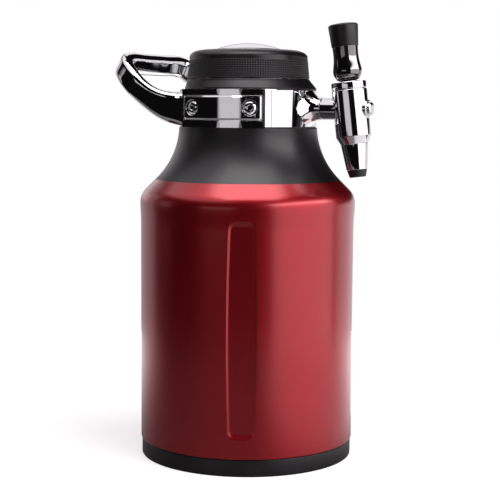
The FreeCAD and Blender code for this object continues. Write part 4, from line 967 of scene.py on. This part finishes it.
@dataclass
class Collar(SubAssembly):
    """The chrome collar: castings, inlaid plates, socket screws, loop handle and the black skirt."""

    plate_level: float = 211.478
    plate_angle: float = 52.6
    plate_face: float = 42.0
    plate_flat: float = 14.0
    plate_height: float = 14.4
    border_corner: float = 1.6
    border_section: tuple[tuple[float, float], ...] = (
        (0.0, -0.4), (0.0, -0.12), (1.1, 0.42), (1.3, 0.42), (1.4, -0.4),
    )
    border_steps: int = 240
    screw_angle: float = 62.1
    flat_angle: float = 104.0
    screw_offset: float = 7.7
    head_seat: float = 40.3
    head_radius: float = 4.2
    head_height: float = 1.7
    head_rim: float = 0.45
    head_fullness: float = 2.4
    shank_radius: float = 1.9
    shank_length: float = 1.0
    socket_flats: float = 2.9
    socket_depth: float = 1.0
    socket_drill: float = 0.35
    skirt_low: float = 222.478
    skirt_high: float = 228.478
    skirt_bore: float = 33.6
    skirt_top: float = 37.0
    skirt_foot: float = 39.9
    skirt_shift: float = 1.7

    def castings(self) -> None:
        """Softens the two castings and the plates that are let into them."""
        pairs = [("handle_frame", "handle_casting", 0.35), ("tap_block", "tap_casting", 0.35)]
        pairs += [(f"side_plate_{side}", f"inlaid_plate_{side}", 0.2) for side in ("left", "right")]
        for node, name, edge in pairs:
            self.refined(node, name, Slot.CHROME, "vessel", edge)

    def borders(self) -> None:
        """Runs a bevelled border round each inlaid plate, on the curve and the flat of the casting's side.

        A place s along the plate and a height h over its face become, up to the flat, the angle
        start + s / face radius at the radius face + h, and past it the flat's own direction.
        """
        flat = math.radians(self.flat_angle)
        start = math.radians(self.plate_angle)
        bent = self.plate_face * (flat - start)
        half = self.plate_height / 2
        long = bent + self.plate_flat
        corner = self.border_corner
        corners = [(0, -half, corner), (long, -half, corner), (long, half, corner), (0, half, corner)]
        path = fillet(corners, 8, closed=True)
        follow = np.concatenate([path, path[:1]])
        step = np.linalg.norm(np.diff(follow, axis=0), axis=1)
        place = np.concatenate([[0.0], np.cumsum(step)])
        even = np.linspace(0.0, place[-1], self.border_steps, endpoint=False)
        path = np.stack([np.interp(even, place, follow[:, 0]), np.interp(even, place, follow[:, 1])], 1)
        ahead = np.roll(path, -1, axis=0) - np.roll(path, 1, axis=0)
        ahead /= np.linalg.norm(ahead, axis=1, keepdims=True)
        inward = np.stack([-ahead[:, 1], ahead[:, 0]], 1)
        section = np.array(self.border_section)
        spot = path[:, None, :] + inward[:, None, :] * section[None, :, :1]
        radius = self.plate_face + section[None, :, 1] + 0 * spot[..., 0]
        turn = start + np.minimum(spot[..., 0], bent) / self.plate_face
        past = np.maximum(spot[..., 0] - bent, 0.0)
        reach = radius * np.cos(turn) - past * math.sin(flat)
        side = radius * np.sin(turn) + past * math.cos(flat)
        for name, sign in (("plate_border_left", -1), ("plate_border_right", 1)):
            rows = np.stack([reach, sign * side, spot[..., 1] + self.plate_level], -1)
            self.deliver(Form().grid(rows, True), name, Slot.CHROME, "vessel", sharp=20.0)

    def screw(self) -> Form:
        """One button screw along Z with a hexagonal socket.

        Returns:
            A turned head whose socket's rings follow a hexagon: r = flats / 2 / cos(angle from a flat).
        """
        top, half, turn = self.head_height, self.socket_flats / 2, np.linspace(0.0, 1.0, 10)
        reach = self.head_radius - half - self.socket_drill
        rise = (top - self.head_rim) * (1 - (1 - turn) ** self.head_fullness)
        dome = np.stack([self.head_radius - reach * turn, self.head_rim + rise], 1)
        shank = ((0, -self.shank_length), (self.shank_radius, -self.shank_length), (self.shank_radius, 0.0))
        under = fillet([*shank, (self.head_radius, 0.0, 0.15), tuple(dome[0])])[:-1]
        floor = top - self.socket_depth
        socket = [(half + 0.2, top - 0.02), (half, top - 0.2), (half - 0.05, floor)]
        profile = np.concatenate([under, dome, np.array([*socket, (0.0, floor - self.socket_drill)])])
        around, sixth = 48, math.pi / 3
        hexagon = 1 / np.cos((round_angles(around) + sixth / 2) % sixth - sixth / 2)
        swell = np.zeros((len(profile), around))
        swell[-4:-1] = profile[-4:-1, :1] * (hexagon - 1)
        return Form().lathe(profile, around, swell)

    def screws(self) -> None:
        """Sets the four screws in their pockets."""
        form = Form()
        flat = math.radians(self.flat_angle)
        along = np.array([-math.sin(flat), math.cos(flat), 0])
        level = np.array([0, 0, self.plate_level])
        for angle, offset in ((self.screw_angle, 0.0), (self.flat_angle, self.screw_offset)):
            turn = math.radians(angle)
            for side in (1, -1):
                out = np.array([math.cos(turn), side * math.sin(turn), 0])
                matrix = np.stack([np.array([-out[1], out[0], 0]), np.array([0, 0, 1.0]), out], 1)
                base = out * self.head_seat + along * (1, side, 1) * offset + level
                form.joined(self.screw().moved(matrix, base))
        self.deliver(form, "socket_screws", Slot.CHROME, "vessel", "collar_screws")

    def skirt(self) -> None:
        """The black flared ring above the collar; its rings shift towards the tap as they widen."""
        bore, low, high = self.skirt_bore, self.skirt_low, self.skirt_high
        profile = fillet([
            (bore, low), (self.skirt_foot, low, 0.35), (self.skirt_foot - 0.25, low + 0.9, 0.5),
            (self.skirt_top + 0.35, high - 1.2, 1.2), (self.skirt_top, high, 0.4), (bore, high),
        ], closed=True)
        share = np.clip((high - profile[:, 1:]) / (high - low), 0, 1)
        shift = self.skirt_shift * share * (profile[:, :1] > bore + 0.4)
        form = Form().grid(rings(profile[:, :1], profile[:, 1:], round_angles(160), shift), True)
        self.deliver(form, "collar_skirt", Slot.BLACK_PLASTIC, "vessel", "neck_skirt")

    def build(self) -> None:
        """Builds the collar's pieces."""
        self.castings()
        self.borders()
        self.screws()
        self.skirt()


@dataclass
class Cap(SubAssembly):
    """The screw cap with its knurled side, and the pressure dial in its middle."""

    low: float = 228.778
    side_top: float = 241.578
    top: float = 245.978
    foot_radius: float = 37.0
    side_radius: float = 35.7
    round_radius: float = 27.0
    bore: float = 33.9
    ceiling: float = 241.478
    well_radius: float = 20.3
    well_floor: float = 244.378
    neck_bore: float = 5.06
    knurl_columns: int = 150
    knurl_depth: float = 0.28
    knurl_pitch: float = 1.25
    knurl_margin: float = 1.1
    tooth_points: int = 4
    dial_radius: float = 20.0
    dial_low: float = 244.678
    dial_edge: float = 1.7
    dial_rise: float = 5.4
    dial_roll: float = 0.7
    seat_travel: float = 3.0

    def shell(self) -> None:
        """Turns the cap; its side is cut by crossed grooves into small square teeth.

        The radius of the side dips by depth * groove(u), where groove is 1 on a tooth's border and 0
        over its face, for the columns round the cap and for the rows up its side alike.
        """
        around = self.knurl_columns * self.tooth_points
        tall = self.side_top - self.low
        rows_up = int((tall - 2 * self.knurl_margin) / self.knurl_pitch)
        low = self.low + self.knurl_margin
        side_z = np.linspace(low, low + rows_up * self.knurl_pitch, rows_up * self.tooth_points + 1)
        taper = (self.side_radius - self.foot_radius) / tall
        side = np.stack([self.foot_radius + taper * (side_z - self.low), side_z], 1)
        lip = ((self.bore, self.low, 0.4), (self.foot_radius, self.low, 0.5))
        before = fillet([(self.bore, self.ceiling), *lip, tuple(side[0])])[:-1]
        quarter = np.linspace(0, math.pi / 2, 15)[1:]
        arc = np.stack([np.cos(quarter), np.sin(quarter)], 1)
        reach = (self.side_radius - self.round_radius, self.top - self.side_top)
        crown = np.array([self.round_radius, self.side_top]) + reach * arc
        rim = fillet([tuple(side[-1]), (self.side_radius, self.side_top, 0.4), tuple(crown[0])])
        well = fillet([
            tuple(crown[-1]), (self.well_radius, self.top, 0.35), (self.well_radius, self.well_floor, 0.2),
            (self.neck_bore, self.well_floor), (self.neck_bore, self.ceiling),
        ])
        profile = np.concatenate([before, side, rim[1:-1], crown, well[1:]])
        column = np.arange(around) % self.tooth_points == 0
        ring = np.arange(len(side)) % self.tooth_points == 0
        swell = np.zeros((len(profile), around))
        swell[len(before) : len(before) + len(side)] = -self.knurl_depth * (column | ring[:, None])
        form = Form().lathe(profile, around, swell)
        self.deliver(form, "cap_moulding", Slot.BLACK_PLASTIC, "cap", "cap_shell")

    def dial(self) -> None:
        """Turns the low chrome dome with its rolled rim: a cap of a ball over an edge."""
        rim = self.dial_low + self.dial_edge
        rise = self.dial_rise - self.dial_edge
        ball = (self.dial_radius**2 + rise**2) / (2 * rise)
        turn = np.linspace(math.asin((self.dial_radius - self.dial_roll) / ball), 0, 26)
        dome = np.stack([ball * np.sin(turn), rim + rise - ball + ball * np.cos(turn)], 1)
        under = ((0, self.dial_low), (self.dial_radius - 0.3, self.dial_low, 0.3))
        foot = fillet([*under, (self.dial_radius, rim - 0.2, self.dial_roll), tuple(dome[0])])
        form = Form().lathe(np.concatenate([foot[:-1], dome]), 160)
        self.deliver(form, "dial_dome", Slot.CHROME, "dial", "pressure_dial")

    def spring(self) -> None:
        """A merged copy of the regulator's spring that rides on the cap, with a mesh of its own."""
        made = self.copied("regulator_spring", "seated_spring", Slot.STEEL)
        self.hand_in(made, Slot.STEEL, "cap", "regulator_spring")
        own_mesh(made)

    def build(self) -> None:
        """Builds the cap, its dial and the spring behind it."""
        self.shell()
        self.dial()
        self.spring()


@dataclass
class Tap(SubAssembly):
    """The leaning chrome tap: body with boss and spigot, bonnet, plug, spout and black tip."""

    centre: tuple[float, float, float] = (67.2, 0.0, 211.278)
    lean: float = math.radians(7.0)
    radius: float = 10.3
    top: float = 11.2
    foot: float = -16.0
    cone_radius: float = 8.0
    cone_end: float = -20.5
    cavity: float = 6.3
    finger_room: float = 7.45
    finger_low: float = -2.6
    finger_high: float = 3.6
    spigot_radius: float = 6.35
    spigot_from: float = 49.26
    spigot_gap: float = 0.15
    boss_root: float = 0.95
    boss_radius: float = 5.4
    boss_face: float = 78.4
    plug_radius: float = 3.9
    plug_room: float = 0.06
    plug_end: float = 80.7
    plug_length: float = 8.0
    bonnet_radius: float = 10.2
    bonnet_top: float = 15.6
    funnel_top: float = 9.0
    funnel_throat: float = 6.8
    funnel_foot: float = 1.4
    spout_end: float = -35.6
    spout_end_radius: float = 6.1
    spout_bore: float = 4.4
    spout_reach: float = 6.0
    tip_end: float = -40.0
    tip_radius: float = 5.9
    tip_end_radius: float = 4.8
    tip_room: float = 0.06
    tip_bore: float = 3.6
    tip_reach: float = 4.6
    fit: float = 0.05

    def on_tap(self, corners: Sequence[tuple[float, ...]], around: int = 128) -> Form:
        """Turns a closed outline about the tap's leaning axis."""
        ring = Form().lathe(fillet(corners, closed=True), around)
        return leaning(ring, self.lean, np.array(self.centre))

    def body(self) -> None:
        """The hollow barrel with its cone, and the boss and spigot that grow out of its wall."""
        inside, room = self.cavity, self.finger_room
        form = self.on_tap([
            (inside, self.cone_end), (self.cone_radius, self.cone_end, 0.2), (self.radius, self.foot, 1.0),
            (self.radius, self.top - 0.5, 0.2), (self.radius - 0.5, self.top, 0.2), (inside, self.top, 0.2),
            (inside, self.finger_high), (room, self.finger_high),
            (room, self.finger_low), (inside, self.finger_low),
        ])
        way, wide, face = self.plug_radius + self.plug_room, self.boss_radius, self.boss_face
        root = self.centre[0] + inside + self.boss_root
        boss = fillet([(way, root), (wide, root), (wide, face, 0.7), (way, face, 0.2)], closed=True)
        back, wide = self.centre[0] - room - self.spigot_gap, self.spigot_radius
        spigot = fillet([(0, self.spigot_from), (wide, self.spigot_from, 0.5), (wide, back), (0, back)])
        for profile in (boss, spigot):
            form.joined(laid(Form().lathe(profile, 96), self.centre[2]))
        self.deliver(form, "tap_barrel", Slot.CHROME, "vessel", "tap_body")

    def plug(self) -> None:
        """The round chrome plug in the boss, slightly domed."""
        end, back, wide = self.plug_end, self.plug_end - self.plug_length, self.plug_radius
        face = ((wide, end - 0.6, 0.5), (wide - 1.2, end - 0.15, 2.0), (0, end))
        form = laid(Form().lathe(fillet([(0, back), (wide, back), *face]), 64), self.centre[2])
        self.deliver(form, "boss_plug", Slot.CHROME, "vessel", "front_plug")

    def bonnet(self) -> None:
        """The ring on the tap's top with the funnel that the lever swings in."""
        low, high, foot = self.top + self.fit, self.bonnet_top, self.top + self.funnel_foot
        wide = self.bonnet_radius
        form = self.on_tap([
            (self.cavity, low), (wide - 0.6, low, 0.3), (wide, self.top + 0.6, 0.3), (wide, high, 0.9),
            (self.funnel_top, high, 0.4), (self.funnel_throat, foot), (self.cavity, foot),
        ])
        self.deliver(form, "bonnet_ring", Slot.CHROME, "vessel", "tap_bonnet")

    def spout(self) -> None:
        """The tapered spout and its black tip, each with a collar that reaches into the piece above."""
        inside, end, root = self.spout_bore, self.spout_end, self.cone_end - self.fit
        collar, above = self.cavity - 2 * self.fit, self.cone_end + self.spout_reach
        form = self.on_tap([
            (inside, end), (self.spout_end_radius, end, 0.25), (self.cone_radius, root, 0.2),
            (collar, root), (collar, above), (inside, above),
        ])
        self.deliver(form, "spout_cone", Slot.CHROME, "vessel", "tap_spout")
        collar, seat, above = inside - self.tip_room, end - self.fit, end + self.tip_reach
        form = self.on_tap([
            (self.tip_bore, self.tip_end, 0.2), (self.tip_end_radius, self.tip_end, 0.4),
            (self.tip_radius, seat, 0.3), (collar, seat), (collar, above), (self.tip_bore, above),
        ], 96)
        self.deliver(form, "nozzle_tip", Slot.BLACK_PLASTIC, "vessel", "spout_tip")

    def build(self) -> None:
        """Builds the tap's fixed pieces."""
        self.body()
        self.plug()
        self.bonnet()
        self.spout()


@dataclass
class Lever(Tap):
    """The lever: a glossy waisted grip under a matte flared cap, tilting about the tap's pivot."""

    stem_bore: float = 3.56
    grip_socket: tuple[float, float, float] = (5.4, 16.6, 19.4)
    grip_foot: tuple[float, float] = (6.6, 17.2)
    grip_side: tuple[tuple[float, float], ...] = (
        (8.0, 19.6), (8.4, 21.4), (8.25, 23.6), (7.4, 29.0), (7.32, 32.5), (7.5, 36.2),
    )
    cap_foot: float = 7.8
    cap_top: float = 8.8
    cap_height: float = 13.0
    cap_dome: float = 0.67
    cap_roll: float = 0.9

    def turned(self, profile: Array) -> Form:
        """Turns a profile about the tap's leaning axis."""
        return leaning(Form().lathe(profile, 128), self.lean, np.array(self.centre))

    def grip(self) -> None:
        """The glossy grip: its side is one smooth curve through a few radii."""
        side = np.array(self.grip_side)
        height = np.linspace(side[0, 1], side[-1, 1], 40)
        smooth = np.stack([spline(side[:, 1], side[:, 0], height), height], 1)
        wide, low, high = self.grip_socket
        socket = ((self.stem_bore, high), (wide, high), (wide, low))
        foot = fillet([*socket, (*self.grip_foot, 0.6), tuple(smooth[0])])
        profile = np.concatenate([foot[:-1], smooth, np.array([(self.stem_bore, side[-1, 1])])])
        self.deliver(self.turned(profile), "grip_moulding", Slot.GLOSS, "tap_lever", "lever_grip")

    def cap(self) -> None:
        """The matte flared cap with a rolled rim and a top that is domed as 1 - t^2."""
        low = self.grip_side[-1][1] + self.fit
        rim, roll = low + self.cap_height, self.cap_roll
        turn = np.linspace(1, 0, 12)
        dome = np.stack([(self.cap_top - 1.2) * turn, rim + self.cap_dome * (1 - turn**2)], 1)
        foot = ((0, low), (self.cap_foot, low, 0.35))
        rolled = ((self.cap_top, rim - 0.6, roll), (self.cap_top - 1.0, rim, roll))
        side = fillet([*foot, *rolled, tuple(dome[1])])
        form = self.turned(np.concatenate([side[:-1], dome[1:]]))
        self.deliver(form, "lever_end_cap", Slot.BLACK_PLASTIC, "tap_lever", "lever_cap")

    def build(self) -> None:
        """Builds the lever's moulded pieces."""
        self.grip()
        self.cap()


# --------------------------------------------------------------------- studio


@dataclass(frozen=True)
class Card:
    """One pale card that mirrors find: middle and half width in degrees, level, sines of elevation."""

    angle: float
    half: float
    level: float
    low: float
    high: float


@dataclass(frozen=True)
class SoftBox:
    """One rectangular lamp: degrees to the camera's right, metres off the axis and floor, size, watts."""

    name: str
    angle: float
    distance: float
    height: float
    size: tuple[float, float]
    power: float


@dataclass
class Studio:
    """Camera, pale floor, soft lamps and a white surround."""

    azimuth: float = math.radians(26.7)
    distance: float = 0.805
    height: float = 0.2121
    pitch: float = 0.1081
    aside: float = 0.0020
    roll: float = 0.0069
    focal: float = 95.0
    sensor: float = 36.0
    aim_height: float = 0.13
    surround: float = 0.06
    table: float = 0.45
    pale: tuple[Colour, Colour] = ((0.86, 0.86, 0.86), (0.88, 0.88, 0.88))
    pale_scale: float = 40.0
    near_glow: float = 0.55
    glow_reach: tuple[float, float] = (0.12, 0.43)
    lifted_behind: tuple[float, float] = (-0.05, 0.25)
    # Painted dark reflection: the grey that mirrored rays find on the floor's left, which paints shade on
    # the body.
    painted_dark_reflection: Colour = (0.2, 0.2, 0.2)
    dim_to_right: tuple[float, float] = (0.04, 0.13)
    gloom: float = 0.004
    tint: Colour = (1.0, 0.95, 0.985)
    card_edge: float = math.radians(3.0)
    card_blur: float = 0.03
    cards: tuple[Card, ...] = (
        Card(-32.0, 18.0, 0.66, -0.05, 0.16),
        Card(-98.0, 8.0, 0.5, -0.05, 0.3),
        Card(-144.0, 27.0, 0.5, -0.5, 0.45),
        Card(-150.0, 16.0, 1.0, 0.02, 0.3),
        Card(142.0, 32.0, 0.9, -0.5, 0.06),
        Card(180.0, 12.0, 1.0, 0.22, 0.75),
        Card(-95.0, 70.0, 1.0, 0.6, 0.95),
    )
    lamps: tuple[SoftBox, ...] = (
        SoftBox("key_box", 63.0, 0.8, 0.24, (1.24, 0.72), 4.2),
        SoftBox("rim_box", 62.0, 0.8, 0.56, (1.2, 0.2), 3.0),
        SoftBox("top_box", 5.0, 0.24, 1.05, (0.8, 0.7), 7.2),
    )

    def around(self, angle: float, distance: float, height: float) -> Array:
        """A place given by its angle from the camera's side, its distance from the axis and its height."""
        turn = self.azimuth + math.radians(angle)
        return np.array([math.sin(turn) * distance, -math.cos(turn) * distance, height])

    def camera(self) -> None:
        """Sets the camera: turned by azimuth and aside, tipped down by pitch, then rolled."""
        data = bpy.data.cameras.new("camera")
        data.lens = self.focal
        data.sensor_width = self.sensor
        eye = linked("camera", data)
        turn = Matrix.Rotation(self.azimuth - self.aside, 4, "Z")
        tip = Matrix.Rotation(math.pi / 2 - self.pitch, 4, "X")
        roll = Matrix.Rotation(self.roll, 4, "Z")
        place = Matrix.Translation(self.around(0.0, self.distance, self.height))
        eye.matrix_world = place @ turn @ tip @ roll
        bpy.context.scene.camera = eye

    def lamp(self, box: SoftBox) -> None:
        """Hangs one rectangular soft lamp that faces the vessel.

        Args:
            box: The lamp's place, size and power.
        """
        data = bpy.data.lights.new(box.name, "AREA")
        data.shape = "RECTANGLE"
        data.size, data.size_y = box.size
        data.energy = box.power
        data.color = self.tint
        place = self.around(box.angle, box.distance, box.height)
        aim = np.array([0.0, 0.0, self.aim_height]) - place
        turn = Matrix.Rotation(math.atan2(-aim[0], aim[1]), 4, "Z")
        tip = Matrix.Rotation(math.acos(-aim[2] / np.linalg.norm(aim)), 4, "X")
        linked(box.name, data).matrix_world = Matrix.Translation(place) @ turn @ tip

    def floor(self) -> None:
        """Lays a round pale table top.

        The camera's own rays, and mirrored ones past the object, find it lifted to white outside its
        shadow; mirrored rays find it dim grey on the camera's left, a painted dark reflection that paints
        shade on the body's dark side.
        """
        angle = round_angles(96)
        edge = self.table * np.stack([np.cos(angle), np.sin(angle), 0 * angle], 1)
        mesh = bpy.data.meshes.new("floor")
        mesh.from_pydata(edge.tolist(), [], [list(range(len(angle)))])
        ground = linked("floor", mesh)
        paint = Paint("pale_floor")
        direct, mirrored = paint.rays()
        across, ahead, _ = paint.axes(paint.place())
        sine, cosine = math.sin(self.azimuth), math.cos(self.azimuth)
        behind = ahead * cosine - across * sine
        right = across * cosine + ahead * sine
        seen = direct.at_least(mirrored * behind.ramp(*self.lifted_behind))
        away = (across**2 + ahead**2) ** 0.5
        tone = paint.blend(paint.noise(self.pale_scale), *self.pale)
        # Painted dark reflection: for mirrored rays only, the floor on the camera's left turns grey and
        # paints shade on the body.
        tone = paint.blend(mirrored * right.ramp(*self.dim_to_right, 1.0, 0.0), tone, self.painted_dark_reflection)
        glow = paint.blend(away.ramp(*self.glow_reach, self.near_glow, 1.0) * seen, BLACK, WHITE)
        mesh.materials.append(
            paint.finish(Base_Color=tone, Roughness=0.6, Emission_Color=glow, Emission_Strength=1.0)
        )

    def world(self) -> None:
        """A white surround for the camera, pale cards for mirrors, and a plain fill for the rest.

        The angle from the camera's side is atan2(d . right, d . towards camera). Glossy and see-through
        rays find the cards, and gloom elsewhere. The distance from a card's middle is taken round the
        circle, and its ends fade over an edge and a blur.
        """
        world = bpy.data.worlds.new("surround")
        bpy.context.scene.world = world
        world.use_nodes = True
        tree = Tree(world.node_tree)
        direct, mirrored = tree.rays()
        x, y, z = tree.axes(tree.node("ShaderNodeTexCoord", out="Generated"))
        sine, cosine = math.sin(self.azimuth), math.cos(self.azimuth)
        angle = (x * cosine + y * sine).turn_from(x * sine - y * cosine)
        edge, blur = self.card_edge, self.card_blur
        shown: Signal | float = self.gloom
        for card in self.cards:
            off = math.pi - ((angle - math.radians(card.angle)).size() - math.pi).size()
            half = math.radians(card.half)
            mask = off.ramp(half - edge, half + edge, 1.0, 0.0) * z.ramp(card.low - blur, card.low + blur)
            mask = mask * z.ramp(card.high - blur, card.high + blur, 1.0, 0.0)
            shown = (mask * card.level).at_least(shown)
        strength = direct.at_least(mirrored * (shown - self.surround) + self.surround)
        inputs = {"Color": tree.blend(direct, self.tint, WHITE), "Strength": strength}
        light = tree.node("ShaderNodeBackground", inputs=inputs)
        out = tree.tree.nodes.new("ShaderNodeOutputWorld")
        tree.feed(out.inputs["Surface"], light)

    def build(self) -> None:
        """Sets up the whole studio."""
        bpy.context.scene.view_settings.view_transform = "Standard"
        self.camera()
        self.floor()
        self.world()
        for box in self.lamps:
            self.lamp(box)


def main() -> None:
    """Builds the dispenser in order and reports each piece."""
    logging.basicConfig(level=logging.INFO, format="%(message)s")
    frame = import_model()
    studio = Studio()
    studio.build()
    log.info("studio ready")
    finishes = Finishes()
    finishes.dress_frame(frame)
    log.info("frame dressed: %d nodes", len(frame["nodes"]))
    for kind in (Vessel, Collar, Cap, Tap, Lever):
        kind(frame, finishes).build()
        log.info("%s built", kind.__name__)


if __name__ == "__main__":
    main()
